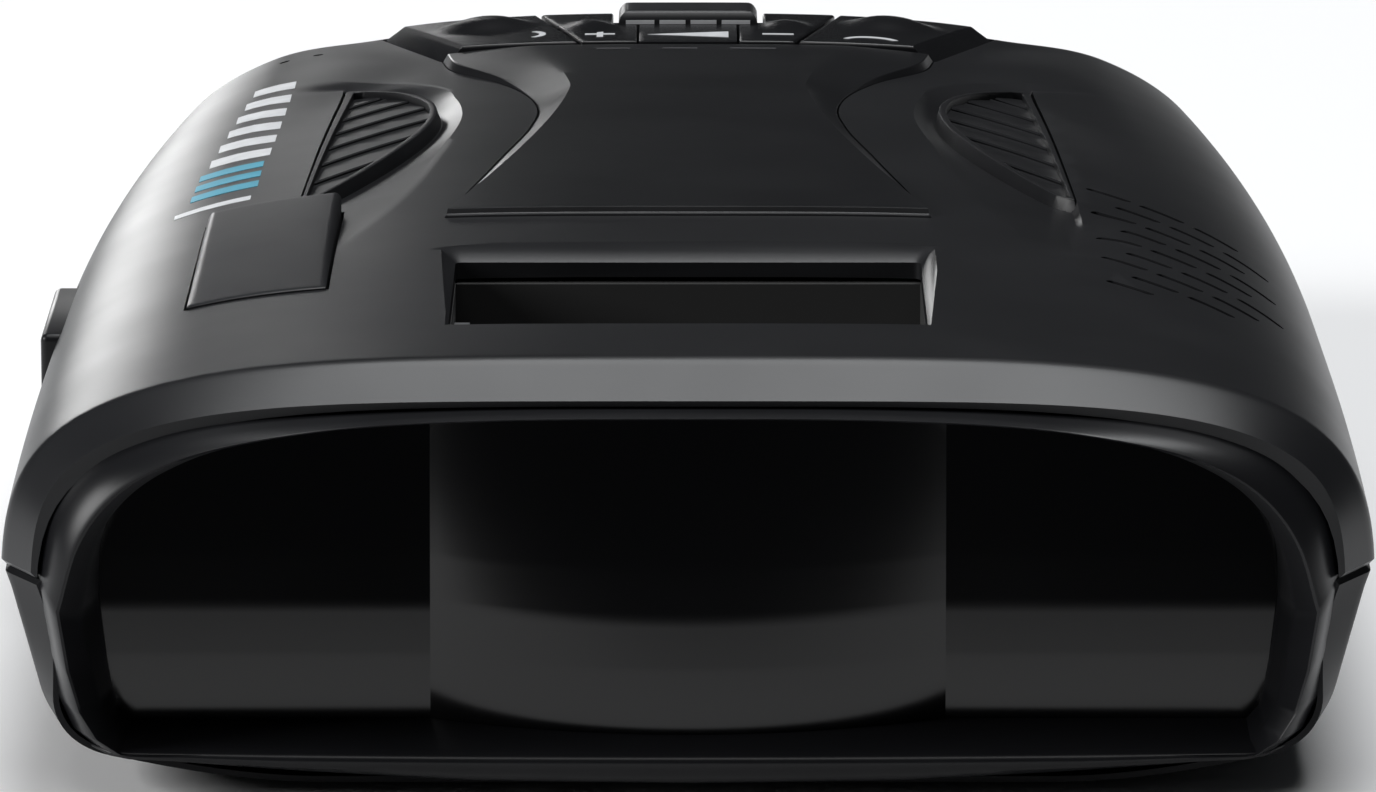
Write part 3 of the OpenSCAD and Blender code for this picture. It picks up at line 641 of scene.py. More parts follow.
@dataclass
class Shells:
    """The two housings, with their walls, mouth rims, posts and every opening cut through them."""
    wall: float = 1.8
    rear_wall: float = 0.7
    rim_t: float = 2.45
    low_rim_t: float = 0.9
    rim_d: float = 8.0
    mouth_d: float = 6.0
    low_chamfer: float = 0.24
    groove: float = 0.3
    cap_bed: float = 1.1
    posts: tuple = ((-33, 16, 9.5), (33, 16, 9.5), (-34, 114, 6.8), (34, 114, 6.8))
    board_posts: tuple = ((-27, 57), (27, 57), (-27, 119), (27, 119))

    def upper_section(self, s: float) -> np.ndarray:
        """The upper shell's outer section, from the left foot over the top to the right foot."""
        inset = FORM.edge_in(s)
        w, h, n = FORM.arch(s, -inset)
        if s < self.mouth_d:
            n += FORM.front_square * inset / FORM.chamfer_in
        cap = float(smooth_path(FORM.cap_line, s))
        crest, foot, inner, outer = (float(line) for line in FORM.valley_lines(s))
        far = 0.8 * w
        knots = [0, cap - 0.06, cap + 0.06, crest, foot, max(inner, foot + 0.05), max(outer, foot + 0.3), far]
        counts = [8, 1, 10, 14, 3, 5, 14]
        x = np.concatenate([np.linspace(a, b, c + 1)[:-1] for a, b, c in zip(knots, knots[1:], counts)])
        z = FORM.crown_z + h * np.maximum(0, 1 - (x / w)**n)**(1 / n)
        fade = 1.0 if s < FORM.shell_l - FORM.rear_r else 1 - inset / FORM.rear_r
        here = np.full(len(x), s)
        z -= (FORM.lowered(x, here) + FORM.valley(x, here)) * fade
        if FORM.cap_s[0] - 0.9 < s < FORM.cap_s[1] + 2.2:
            z[x < cap] -= self.cap_bed
        base = FORM.seam_z + FORM.seam_gap + self.groove
        t = np.linspace(math.acos((far / w)**(n / 2)), math.asin(((base - FORM.crown_z) / h)**(n / 2)), 25)
        side = np.column_stack([w * np.cos(t)**(2 / n), FORM.crown_z + h * np.sin(t)**(2 / n)])
        foot_point = (side[-1][0] - self.groove, base - self.groove)
        half = np.concatenate([np.column_stack([x, z]), side, [foot_point]])
        return stand(np.concatenate([half[::-1], half[1:] * (-1, 1)]), s)

    def lower_ring(self, s: float, hollow: bool, base: float) -> np.ndarray:
        """A lower section whose sides step in more than its bottom at the mouth.

        Args:
            s: The station.
            hollow: Give the hollow's section, or else the outside's.
            base: The height of its top edge.

        Returns:
            The section's points, as (x, z).
        """
        if hollow:
            side_in, low_in = self.skin(s), self.low_rim_t if s <= self.rim_d else self.skin(s)
        else:
            side_in = FORM.edge_in(s)
            low_in = side_in * (self.low_chamfer if s < self.mouth_d else 1.0)
        side = FORM.lower_ring(max(0.0, s), -side_in, base)
        low = FORM.lower_ring(max(0.0, s), -low_in, base)
        share = ease((low[:, 1:] - 3.0) / 8.0)
        return side * share + low * (1 - share)

    def lower_section(self, s: float) -> np.ndarray:
        """The lower shell's outer section, with its shadow groove under the seam."""
        ring = self.lower_ring(s, False, FORM.seam_z - FORM.seam_gap)
        right, left = ring[[0, -1]]
        ring[[0, -1], 1] -= self.groove
        steps = [(left[0] + self.groove, left[1]), (right[0] - self.groove, right[1])]
        return stand(np.concatenate([ring, steps]), s)

    def skin(self, s: float) -> float:
        """Wall thickness at a station."""
        if s <= self.rim_d:
            return self.rim_t
        return self.wall + self.rear_wall * max(0.0, s - FORM.shell_l + FORM.rear_r)

    def hollow(self, section: Callable[[float], np.ndarray]) -> Piece:
        """The tool that hollows a shell, through its sections."""
        stations = [-1.0, self.rim_d, self.rim_d + 0.2, *range(20, 121, 10), 126.0, 132.5, 136.5]
        return loft("hollow", [stand(section(s), s) for s in stations])

    @staticmethod
    def stations() -> list[float]:
        """Close stations where the top has lines and edges, wide ones elsewhere."""
        end = FORM.shell_l - FORM.rear_r * (1 - np.sin(np.linspace(0, math.pi / 2, 11)))
        return np.concatenate([
            np.linspace(0, 5, 13), np.arange(6.5, 36, 2.2), np.arange(37, 47.8, 0.8), [48.04, 48.16],
            np.arange(49, 118.5, 0.62), np.arange(119.3, 132, 1.1), end]).tolist()

    def upper(self, cutters: Sequence[Piece]) -> None:
        """Build the upper housing, with the speaker's slots in its right shoulder.

        Args:
            cutters: The closed tools that cut its openings.
        """
        shell = loft("upper_shell", [self.upper_section(s) for s in self.stations()])
        combine(shell, [self.hollow(lambda s: FORM.upper_ring(max(0.0, s), -self.skin(s), FORM.seam_z - 1))])
        studs = [drum("post", (x, s, 14.1 + high / 2), 3.0, high, sides=24) for x, s, high in self.posts]
        combine(shell, studs, "UNION")
        combine(shell, cutters)
        hand_over(shell, SHELL, ("upper_housing", "speaker_grille"), smooth=23)

    def lower(self, cutters: Sequence[Piece]) -> None:
        """Build the lower housing, with its posts, label recess and screw wells.

        Args:
            cutters: The closed tools that cut its openings.
        """
        shell = loft("lower_shell", [self.lower_section(s) for s in self.stations()])
        combine(shell, [self.hollow(lambda s: self.lower_ring(s, True, FORM.seam_z + 1))])
        studs = [drum("post", (x, s, 8.2), 3.6, 11.4, sides=24) for x, s, _ in self.posts]
        studs += [drum("board_post", (x, s, 4.2), 2.4, 6.4, sides=24) for x, s in self.board_posts]
        combine(shell, studs, "UNION")
        wells = [drum("well", (x, s, 1.5), 2.7, 5.0) for x, s, _ in self.posts]
        label = chamfer(box("label_recess", (-20.1, 59.9, -1), (20.1, 100.1, 0.4)), 0.3)
        combine(shell, [*wells, label, *cutters])
        hand_over(shell, LOWER, ("lower_housing",), smooth=28)


# --- mouth

@dataclass
class Mouth:
    """The bezel round the front opening, its bowed lip, and the dark window behind it."""
    arch_counts: tuple = (8, 8, 8, 8, 10, 12, 14)
    crest_s: float = -2.6
    window_s: float = 6.0
    window_t: float = 1.4
    window_back: tuple = ((1, 0.0), (7, 0.55), (10.5, 0.95), (14, 1.44), (25.5, 3.15))
    ring_end: float = 10.6
    bulge_w: float = 33.5
    bulge_rise: float = 4.2
    lip_half: float = 38.6
    lip_end: float = -2.3
    lip_bow: float = 1.2
    lip_top: float = 3.1
    lip_low: tuple = ((0, 1.15), (14, 1.3), (25, 1.85), (33, 2.35), (36.4, 2.5), (38.6, 2.9))

    def loop(self, knots: Sequence[tuple[float, float]]) -> np.ndarray:
        """One loop round the mouth, through matching knots from the middle of the top to the bottom.

        Args:
            knots: The right half's knots as (x, z): eight of the arch, then four of the lower side.

        Returns:
            Points as (x, z), the same number for every loop.
        """
        knots = np.array(knots, float)
        slope = np.gradient(knots[:8], axis=0)
        slope[0, 1] = 0.0
        right = []
        for k, count in enumerate(self.arch_counts):
            t = np.linspace(0, 1, count + 1)[:-1, None]
            right.append(hermite(t, knots[k:k + 2], slope[k:k + 2]))
        right.append(knots[7:8])
        right += [np.linspace(a, b, 7)[1:] for a, b in zip(knots[7:], knots[8:])]
        right.append(np.linspace(knots[-1], (0.0, knots[-1][1]), 14)[1:])
        half = np.concatenate(right)
        return np.concatenate([half, (half[1:-1] * (-1, 1))[::-1]])

    @staticmethod
    def arch_knots(w: float, h: float, n: float, foot: float) -> list[tuple[float, float]]:
        """Eight knots along an arch from the middle of its top down to a foot height."""
        knots = [(a, FORM.crown_z + h * (1 - (a / w)**n)**(1 / n))
                 for a in np.array([0, 0.30, 0.56, 0.76, 0.88, 0.95]) * w]
        for z in ((knots[-1][1] + foot) / 2, foot):
            knots.append((w * (1 - ((z - FORM.crown_z) / h)**n)**(1 / n), z))
        return knots

    def opening_loop(self) -> np.ndarray:
        """The loop round the window."""
        arch = self.arch_knots(38.3, 14.7, 4.0, 11.2)
        return self.loop(arch + [(37.75, 6.9), (37.45, 5.2), (37.1, 4.0), (36.3, self.lip_top)])

    def ring(self) -> Piece:
        """The moulded ring: a soft flank up to a crest, then two facets back to the window."""
        hood = self.loop(self.arch_knots(42.0, 16.5, 4.5, 13.6) + [(41.2, 10), (40.8, 6.4), (39.8, 4.1), (38, 2.4)])
        groove = self.loop([(0, 25.2), (12, 25.15), (22, 24.85), (30, 24.3), (35.2, 23.1), (38.6, 21.3),
                            (40.8, 18.3), (41.75, 13.6), (41.1, 10), (40.7, 6.4), (39.7, 4.1), (38, 2.6)])
        crest = self.loop([(0, 25.15), (12, 25.05), (22, 24.5), (29.5, 23.3), (34, 21.8), (37, 19.7),
                           (39.1, 16.7), (40.4, 12.5), (39.8, 8.6), (39, 5.8), (37.9, 4), (36.4, 3)])
        facet = self.loop([(0, 24.5), (12, 24.4), (21.8, 23.9), (29, 22.6), (33.3, 21), (36.2, 18.9),
                           (38, 16.1), (39.1, 11.6), (38.5, 7.9), (37.9, 5.4), (37.1, 4), (36.2, 3.05)])
        lip = self.opening_loop()
        tip = self.crest_s
        steps = ((hood, hood, 0, self.ring_end), (hood, hood, 0, 1.2), (groove, groove, 0, 0.7),
                 (groove, crest, 0.06, 0.25), (groove, crest, 0.45, tip * 0.45), (groove, crest, 0.85, tip * 0.93),
                 (crest, crest, 0, tip), (crest, facet, 0.15, tip + 0.12), (crest, facet, 0.9, 0.5),
                 (facet, lip, 0.03, 0.75), (facet, lip, 0.2, 1.6), (facet, lip, 0.9, 5.2),
                 (lip, lip, 0, self.window_s), (lip, lip, 0, self.ring_end))
        rings = [stand((1 - share) * a + share * b, s) for a, b, share, s in steps]
        return loft("front_bezel_ring", rings, filled=False)

    def lip(self) -> Piece:
        """The bottom lip: a level shelf with a rounded, bowed front edge."""
        rings = []
        top = self.lip_top
        for x in np.linspace(-38.4, 38.4, 61):
            front = self.lip_end - self.lip_bow * (1 - (x / self.lip_half)**2) + 0.36 * max(0.0, abs(x) - 36.0)**2
            low = float(np.interp(abs(x), *np.array(self.lip_low).T))
            r = min(0.5, (top - low) / 2.4)
            profile = [(6.2, top), (front + 2.2, top)]
            profile += [(front + r - r * math.sin(a), top - r + r * math.cos(a))
                        for a in np.linspace(0.15, math.pi / 2, 6)]
            profile += [(front + 0.12, (top - r + low) / 2), (front + 0.5, low + 0.4 * r), (front + 0.9, low),
                        (3.0, min(low + 0.4, top - 0.02)), (6.2, min(low + 0.45, top - 0.02))]
            rings.append([(x, s, z) for s, z in profile])
        return loft("lip", rings)

    def window(self) -> Piece:
        """The window: level panels either side of a round centre, clipped to the opening."""
        half = self.bulge_w / 2
        radius = (half**2 + self.bulge_rise**2) / (2 * self.bulge_rise)
        mid_s = self.window_s - self.bulge_rise + radius
        heights = np.concatenate([[1.0, 5.0], np.linspace(7.0, 14.0, 15), [19.0, 25.5]])
        back = np.interp(heights, *np.array(self.window_back).T)
        rings = []
        for x in np.concatenate([np.linspace(-40, -half, 12)[:-1], np.linspace(-half, half, 61),
                                 np.linspace(half, 40, 12)[1:]]):
            front = mid_s - math.sqrt(radius**2 - x**2) if abs(x) < half else self.window_s
            rings.append([(x, front + b, z) for z, b in zip(heights, back)]
                         + [(x, front + b + self.window_t, z) for z, b in zip(heights[::-1], back[::-1])])
        return combine(loft("window", rings), [across("opening", self.opening_loop() * 1.008, -6, 12)], "INTERSECT")

    def build(self) -> None:
        """Make the bezel and the window."""
        bezel = combine(self.ring(), [self.lip()], "UNION")
        hand_over(bezel, TRIM, ("front_bezel",), smooth=36)
        hand_over(self.window(), WINDOW, ("front_window",), smooth=12)


# --- top of the upper shell

@dataclass
class SpineCap:
    """The hourglass cap along the middle of the top, with its sloped flanks."""
    rise_line: tuple = ((40.0, 0.5), (80.0, 0.5), (104.0, 0.22), (119.0, -0.1))
    sunk: float = 1.05

    def section(self, s: float, share: float = 1.0) -> np.ndarray:
        """The cap's section from the right edge to the left.

        Args:
            s: The station.
            share: How much of its height it has here.

        Returns:
            The section's points.
        """
        inner = float(FORM.inlay_half(s))
        outer = max(float(smooth_path(FORM.cap_line, s)) - 0.08, inner + 0.05)
        rise = float(smooth_path(self.rise_line, s))
        drop = float(smooth_path(FORM.lower_line, s))
        wall = 0.6 * float(ease((s - 95) / 22)) + 0.02
        knee = outer - 0.5 * wall
        inner = min(inner, knee - 0.05)
        slope = np.linspace(knee - 0.08, inner, 8)[1:]
        level = np.linspace(inner, 0, 9)[1:]
        xs = [outer, outer, knee, knee - 0.08, *slope, *level]
        flank = -drop + wall + (rise + drop - wall) * (knee - 0.08 - slope) / (knee - 0.08 - inner + 1e-6)
        over = np.array([-self.sunk - drop * 0.2, -drop, -drop + wall * 0.9, -drop + wall, *flank]
                        + [rise] * len(level))
        over[1:] = np.where(over[1:] > -drop, -drop + (over[1:] + drop) * share, over[1:])
        half = np.column_stack([xs, over])
        whole = np.concatenate([half, half[:-1][::-1] * (-1, 1)])
        whole[:, 1] += FORM.arch_z(whole[:, 0], np.full(len(whole), s))
        return stand(whole, s)

    def build(self) -> None:
        """Make the cap."""
        start, end = FORM.cap_s
        rows = [(start - 0.75, -0.1), (start - 0.7, 0.1), (start - 0.4, 0.2), (start - 0.32, 0.27),
                (start - 0.12, 0.9), (start, 0.98), (start + 0.2, 1.0)]
        rows += [(float(s), 1.0) for s in np.linspace(start + 1.0, end - 0.3, 96)]
        rows += [(end - 0.12, 0.98), (end, 0.9)]
        cap = loft("spine_cap", [self.section(s, share) for s, share in rows])
        hand_over(cap, CAP, ("top_inlay",), smooth=12)


@dataclass
class Vents:
    """The two louvred vents, each with a raised rim and slanted blades."""
    rim: float = 0.55
    inset: float = 0.24
    blades: int = 8
    blade_half: float = 11.5
    pitch: float = 6.7
    gap: float = 0.45
    angle: float = -56.0

    def rim_piece(self, side: int) -> Piece:
        """The vent's raised rim."""
        outer, top, inner = (sided(FORM.vent_outline(grow), side)
                             for grow in (0.06, -self.inset, -self.inset - self.rim))
        levels = [(outer, -2.6), (outer, -0.95), (top, -0.1), (top, 0.0), (inner, 0.0), (inner, -2.6)]
        piece = loft("vent_rim", [lay(outline, z) for outline, z in levels], filled=False)
        return drape(chamfer(piece, 0.1, 2, 30), FORM.shoulder_z, 2.0)

    def blade_pieces(self, side: int) -> Piece:
        """The slanted blades, clipped to the rim's inner side."""
        parts = []
        along, over = slant(self.angle * side)
        half = (self.pitch * math.cos(math.radians(self.angle)) - self.gap) / 2
        profile = [(-half, -2.4), (-half, -0.52), (-half + 0.14, -0.42), (half - 0.2, -0.6), (half, -0.52),
                   (half, -2.4)]
        for k in range(self.blades):
            centre = np.array([22.8 * side, 62.2 + self.pitch * k])
            parts.append(loft("blade", [[(*(centre + along * u + over * v), z) for v, z in profile]
                                        for u in (-self.blade_half, self.blade_half)]))
        clip = prism("clip", sided(FORM.vent_outline(-self.inset - self.rim * 0.5), side), -3, 3)
        return drape(combine(gather("blades", parts), [clip], "INTERSECT"), FORM.shoulder_z, 2.0)

    def build(self) -> None:
        """Make both vents."""
        for side, word in ((-1, "left"), (1, "right")):
            vent = gather(f"vent_{word}", [self.rim_piece(side), self.blade_pieces(side)])
            hand_over(vent, GRILLE, (f"vent_grille_{word}",), smooth=30)


@dataclass
class ReleaseButton:
    """The mount's release button: a plate that rises towards its rear, with a soft inner edge."""
    x: tuple[float, float] = (-33.4, -24.1)
    s: tuple[float, float] = (26.2, 54.8)
    front_rise: float = 0.18
    rear_rise: float = 1.05
    edge: float = 0.55

    def rise(self, points: np.ndarray) -> np.ndarray:
        """Slope the top from the front to the rear."""
        start, end = self.s
        share = ease((points[:, 1] - start) / (end - start) * 0.5 + 0.5) * 2 - 1
        height = self.front_rise + (self.rear_rise - self.front_rise) * share
        above = points[:, 2] > 0
        points[above, 2] *= height[above]
        return points

    def build(self) -> None:
        """Make the button with its wedge and spring seat."""
        (x0, x1), (s0, s1) = self.x, self.s
        plate = round_top(prism("release_plate", oblong(x0, s0, x1, s1), -2.5, 1.0), self.edge, 0.55)
        drape(reshape(slice_up(plate, 1.4), self.rise), FORM.arch_z)
        combine(plate, [box("relief", (-34, 27.4, 20), (-24, 33.6, 24.95))])
        wedge = box("wedge", (-29.9, 29.5, 21.2), (-28.2, 31.5, 25.6))
        seat = drum("seat", (-28.8, 44, 23.5), 1.1, 3.8, sides=24)
        combine(plate, [wedge, seat], "UNION")
        hand_over(plate, BUTTON, ("release_button",), "release_key", smooth=30)


@dataclass
class Openings:
    """The tools that cut the shells' openings."""
    slot_half: float = 15.7
    slot_s: tuple[float, float] = (13.5, 35.5)
    pad_s: tuple[float, float] = (118.95, 133.45)
    through: tuple[float, float] = (17, 32)
    dash: tuple[float, float] = (1.95, 0.34)
    dash_step: tuple[float, float] = (4.7, 4.1)
    dash_angle: float = -40.0

    def slot(self) -> Piece:
        """The mount slot, with its rolled rear edge and bevelled sides."""
        front, back = self.slot_s
        half = self.slot_half
        low = self.rounded(half, front, back, 0.5)
        deep = self.rounded(half + 0.02, front, back + 0.7, 0.5)
        roll = self.rounded(half + 0.5, front, back + 1.6, 0.9)
        high = self.rounded(half + 1.35, front - 0.1, back + 3.6, 1.4)
        for outline in (roll, high):
            outline[:2, 0] = (-half - 0.15, half + 0.15)
        levels = ((low, 18.0), (deep, 26.95), (roll, 27.34), (high, 27.79), (high, 30.0))
        return loft("slot_tool", [lay(outline, z) for outline, z in levels])

    @staticmethod
    def rounded(half: float, front: float, back: float, radius: float) -> np.ndarray:
        """A box's outline with rounded rear corners, from its front left corner."""
        right = np.array(arc((half - radius, back - radius), (radius, radius), 0, math.pi / 2, 6))
        return np.concatenate([[(-half, front), (half, front)], right, (right * (-1, 1))[::-1]])

    def top(self) -> list[Piece]:
        """The openings of the slot, the keypad, the release button and the vents."""
        front, back = self.pad_s
        pad = [(-18.95, front), (18.95, front), (24.15, back), (-24.15, back)]
        outlines = [pad, oblong(-33.6, 26.0, -23.9, 55.0)]
        outlines += [sided(FORM.vent_outline(), side) for side in (-1, 1)]
        return [self.slot(), *(prism("top_tool", outline, *self.through) for outline in outlines)]

    def speaker(self) -> Piece:
        """The speaker's slots: slanted rows of round-ended dashes, laid like bricks."""
        along, over = slant(self.dash_angle)
        half_l, half_w = self.dash
        cap = arc((half_l - half_w, 0.0), (half_w, half_w), -math.pi / 2, math.pi / 2, 7)
        dash = cap + [(-u, -v) for u, v in cap]
        pitch, row_pitch = self.dash_step
        parts = []
        for row in range(9):
            for k in range(5):
                u = pitch * k + (row % 2) * pitch / 2
                x, s = 29.6 + u * along[0], 62.6 - row_pitch * row + u * along[1]
                if x < 39.2 and s > 27:
                    outline = [tuple(np.array([x, s]) + along * a + over * b) for a, b in dash]
                    parts.append(prism("dash", outline, 15, self.through[1]))
        return gather("dash_tools", parts)

    @staticmethod
    def pins() -> list[Piece]:
        """Two small pits on the left shoulder."""
        return [drum("pit", (x, s, float(FORM.deck_z(np.array([x]), np.array([s]))[0])), 0.42, 1.0, sides=20)
                for x, s in ((-31.2, 128.2), (-28.6, 128.3))]

    @staticmethod
    def sides() -> list[Piece]:
        """The openings for the jacks and the port in both side walls."""
        return [box("power_tool", (-50, 50.0, 7.4), (-40, 66.0, 19.0)),
                drum("ear_tool", (-44, 78, 11), 2.5, 10, (0, 90, 0)),
                chamfer(box("port_tool", (38, 76, 8.4), (50, 86, 12)), 0.5)]


# --- keypad

@dataclass
class Keypad:
    """Five keys with moulded edges and printed symbols, and the plate between the volume keys."""
    front: float = 119.2
    length: float = 14.0
    rise: float = 0.05
    slab: float = 2.4
    under: float = 23.6
    menu_x: float = 18.6
    menu_flare: float = 5.0
    menu_draft: float = 1.5
    mute_half: float = 5.35
    mute_length: float = 5.4

    def key(self, name: str, outline: Outline, rise: float, stem: tuple[float, float], edge: float,
            bumps: Sequence[tuple] = (), draft: float = 0.0) -> Piece:
        """One key: a slab with a rounded top edge, laid on the arch, on a stem.

        Args:
            name: The piece's name.
            outline: Its outline seen from above.
            rise: How far it stands above the arch.
            stem: Where its stem is.
            edge: The rounding of its top edge.
            bumps: Swellings on its top, as (x, s, half width, half length, height).
            draft: How far its outer side leans in at the top.

        Returns:
            The key.
        """
        def swell(points: np.ndarray) -> np.ndarray:
            """Lean the outer side in and lift the bumps."""
            x, s, z = points.T
            top = z > rise - edge * 0.5
            line = self.menu_x + self.menu_flare * (s - self.front) / self.length
            close = np.clip(1 - (line - np.abs(x)) / 1.6, 0, 1)
            lift = np.zeros(len(x))
            for a, b, wide, long, high in bumps:
                lift += high * ease(1.25 * np.clip(1 - np.hypot((x - a) / wide, (s - b) / long), 0, 1))
            points[:, 0] -= np.sign(x) * draft * close * np.clip((z - rise + 1.3) / 1.3, 0, 1)
            points[:, 2] += np.where(top, lift, 0)
            return points

        def level(points: np.ndarray) -> np.ndarray:
            """Keep the underside off the carrier through the whole press."""
            points[:, 2] = np.maximum(points[:, 2], self.under)
            return points

        slab = slice_up(round_top(prism(name, outline, rise - self.slab, rise), edge), 0.5)
        reshape(drape(reshape(slab, swell), FORM.arch_z), level)
        return combine(slab, [drum("stem", (stem[0], stem[1], 23.2), 1.3, 4.0, sides=24)], "UNION")

    def mark(self, outline: Outline, rise: float, step: float = 0.8) -> Piece:
        """A thin printed shape on a key's top."""
        return drape(prism("mark", outline, rise - 0.02, rise + 0.03), FORM.arch_z, step)

    def build(self) -> None:
        """Make the keys, the plate and the symbols."""
        f, b = self.front, self.front + self.length
        menu = [(8.4, f), (self.menu_x, f), (23.6, b), (11.7, b)]
        volume = [(3.9, f), (8.1, f), (11.4, b), (5.8, b), (5.8, f + 8.2), (3.9, f + 8.2)]
        for side, word in ((-1, "left_menu"), (1, "right_menu"), (-1, "volume_up"), (1, "volume_down")):
            if "menu" in word:
                key = self.key(f"{word}_key", sided(menu, side), self.rise, (15.2 * side, f + 7), 0.3,
                               [(15.6 * side, f + 9.0, 4.4, 4.2, 0.75)], self.menu_draft)
            else:
                key = self.key(f"{word}_key", sided(volume, side), self.rise, (7.6 * side, f + 4), 0.2,
                               [(7.6 * side, f + 7.2, 2.3, 3.6, 0.42)])
            hand_over(key, KEYS, (f"{word}_button",), key.name, smooth=35)
        bar = oblong(-self.mute_half, b - self.mute_length, self.mute_half, b)
        mute = self.key("mute_key", bar, self.rise + 0.95, (0, f + 10), 0.8)
        hand_over(mute, BUTTON, ("mute_button",), "mute_key", smooth=35)
        plate = prism("volume_plate", oblong(-3.75, f, 3.75, b - 5.6), -self.slab, self.rise - 0.05)
        drape(chamfer(plate, 0.06, 2), FORM.arch_z, 1.2)
        hand_over(plate, KEYS, ("volume_plate",), smooth=35)
        self.symbols(b - self.mute_length)

    def symbols(self, face: float) -> None:
        """Print the generic symbols.

        Args:
            face: The station of the mute key's front face.
        """
        top = self.rise
        plus = [self.mark(oblong(*ends), top) for ends in ((-7.9, 122.3, -5.6, 122.9), (-7, 121.2, -6.5, 124))]
        minus = [self.mark(oblong(5.7, 122.3, 8.1, 122.9), top)]
        wedge = [self.mark([(-3.1, 122.6), (3.1, 121.2), (3.1, 124.0)], top - 0.05)]
        strokes = [drape(prism("stroke", oblong(x, face - 0.03, x + wide, face + 0.3), 0.0, 0.3), FORM.arch_z, 1.0)
                   for x, wide in ((-4.8, 2.2), (-2.2, 2.0), (0.2, 2.0), (2.6, 2.2))]
        bow = arc((14, 120.6), (1.8, 1.3), 0.35, math.pi - 0.35, 12)
        back = [self.mark(bow + arc((14, 120.6), (2.2, 2.0), math.pi - 0.3, 0.3, 12), top, 2.0)]
        bow = arc((-12.1, 123.2), (1.2, 1.6), -1.2, 1.2, 10)
        moon = [self.mark(bow + arc((-12.5, 123.2), (1.1, 1.4), 1.1, -1.1, 10), top, 2.0)]
        dashes = [self.mark(oblong(a, 115.9, b, 116.4), -0.03) for a, b in ((-6.9, -4.4), (-1.9, 0.7), (3.2, 6.7))]
        for name, parts, finish, slot, body in (
                ("plus_symbol", plus, WHITE_PRINT, "key_plastic", "volume_up_key"),
                ("minus_symbol", minus, WHITE_PRINT, "key_plastic", "volume_down_key"),
                ("volume_symbol", wedge, WHITE_PRINT, "key_plastic", "chassis"),
                ("mute_symbol", strokes, WHITE_PRINT, "button_plastic", "mute_key"),
                ("back_symbol", back, WHITE_PRINT, "key_plastic", "right_menu_key"),
                ("moon_symbol", moon, WHITE_PRINT, "key_plastic", "left_menu_key"),
                ("cap_legends", dashes, FAINT_PRINT, "inlay_plastic", "chassis")):
            hand_over(gather(name, parts), finish, (), body)


# --- ends and sides

@dataclass
class DisplayEnd:
    """The driver's end: the rear bezel round the display lens."""
    half: float = 29.0
    low: float = 7.2
    high: float = 20.2
    frame_steps: tuple = ((-4.2, 133.5), (-4.2, 135.4), (-3.05, 135.45), (-3.05, 137.1), (-3.2, 137.5),
                          (-3.5, 137.85), (-3.9, 138.0))
    sight_steps: tuple = ((-1.5, 132), (-1.5, 134.3), (0, 134.31), (0, 137.4), (0.6, 138.05), (0.6, 139))

    @staticmethod
    def outline(grow: float) -> np.ndarray:
        """The end's whole outline, as (x, z)."""
        arch = FORM.upper_ring(FORM.shell_l, grow, FORM.seam_z, 49)
        return np.concatenate([arch, FORM.lower_ring(FORM.shell_l, grow, FORM.seam_z)[::-1][1:-1]])

    def build(self) -> None:
        """Make the rear bezel."""
        bezel = loft("rear_bezel_frame", [stand(self.outline(grow), s) for grow, s in self.frame_steps])
        sight = [stand(np.array(oblong(-self.half - g, self.low - g, self.half + g, self.high + g)), s)
                 for g, s in self.sight_steps]
        combine(bezel, [across("hollow", self.outline(-5.6), 132, 134.4), loft("sight", sight)])
        hand_over(bezel, TRIM, ("rear_bezel",), smooth=30)


@dataclass
class PowerCollar:
    """The collar round the power jack on the left side."""
    frame: tuple = ((-44.88, 50.2, 7.6), (-41, 65.8, 18.8))
    mouth: tuple = ((-47, 51.3, 8.5), (-40, 64.7, 18.2))

    def build(self) -> None:
        """Make the collar."""
        collar = chamfer(box("power_collar_frame", *self.frame), 0.5, 4)
        combine(collar, [chamfer(box("collar_tool", *self.mouth), 0.4)])
        hand_over(collar, TRIM, ("power_collar",))


@dataclass
class ShoulderMark:
    """Slanted printed bars on the left shoulder."""
    lean: float = 0.18
    white_pitch: float = 6.2
    blue_pitch: float = 4.1

    def bar(self, start: float, end: float, x0: float, x1: float) -> Piece:
        """One slanted bar."""
        outline = [(x0, start + self.lean), (x1, start), (x1, end), (x0, end + self.lean)]
        return drape(prism("bar", outline, -0.02, 0.03), FORM.shoulder_z, 1.2)

    def build(self) -> None:
        """Make the white bars and the blue bars."""
        far, near = self.white_pitch, self.blue_pitch
        white = [self.bar(80 + far * k, 83.4 + far * k, -34.6 + 0.35 * k, -30.2 + 0.1 * k) for k in range(6)]
        white.append(self.bar(62.0, 63.6, -36.2, -30.8))
        hand_over(gather("shoulder_bars_white", white), WHITE_PRINT)
        blue = [self.bar(67 + near * k, 69.4 + near * k, -35.3 + 0.1 * k, -30.5) for k in range(3)]
        hand_over(gather("shoulder_bars_blue", blue), BLUE_PRINT)


@dataclass
class Insides:
    """Finishes for the CAD nodes that keep their own shape."""
    nodes: dict[str, Piece]

    def dress(self) -> None:
        """Give each kept node the finish of what it is made of."""
        finishes = {
            INNER: ("mount_pocket", "key_carrier", "power_jack", "ear_jack", "speaker"),
            WINDOW: ("display_lens", "display_module"),
            RUBBER: ("keypad_mat", "speaker_gasket", "screw_plugs"),
            BOARD: ("key_board", "main_board", "horn_launcher", "laser_board"),
            FILM: ("display_ribbon",),
            TINNED: ("tact_switches", "shield_can", "usb_port"),
            PLATED: ("mount_latch", "release_spring", "board_screws", "housing_screws"),
            CASTING: ("horn_antenna",),
            RED_LENS: ("laser_lens",),
            LABEL: ("bottom_label",),
        }
        for finish, names in finishes.items():
            for name in names:
                dress(self.nodes[name], finish)
                REPORT.info("%s: finish %s", name, finish.name)


# --- studio

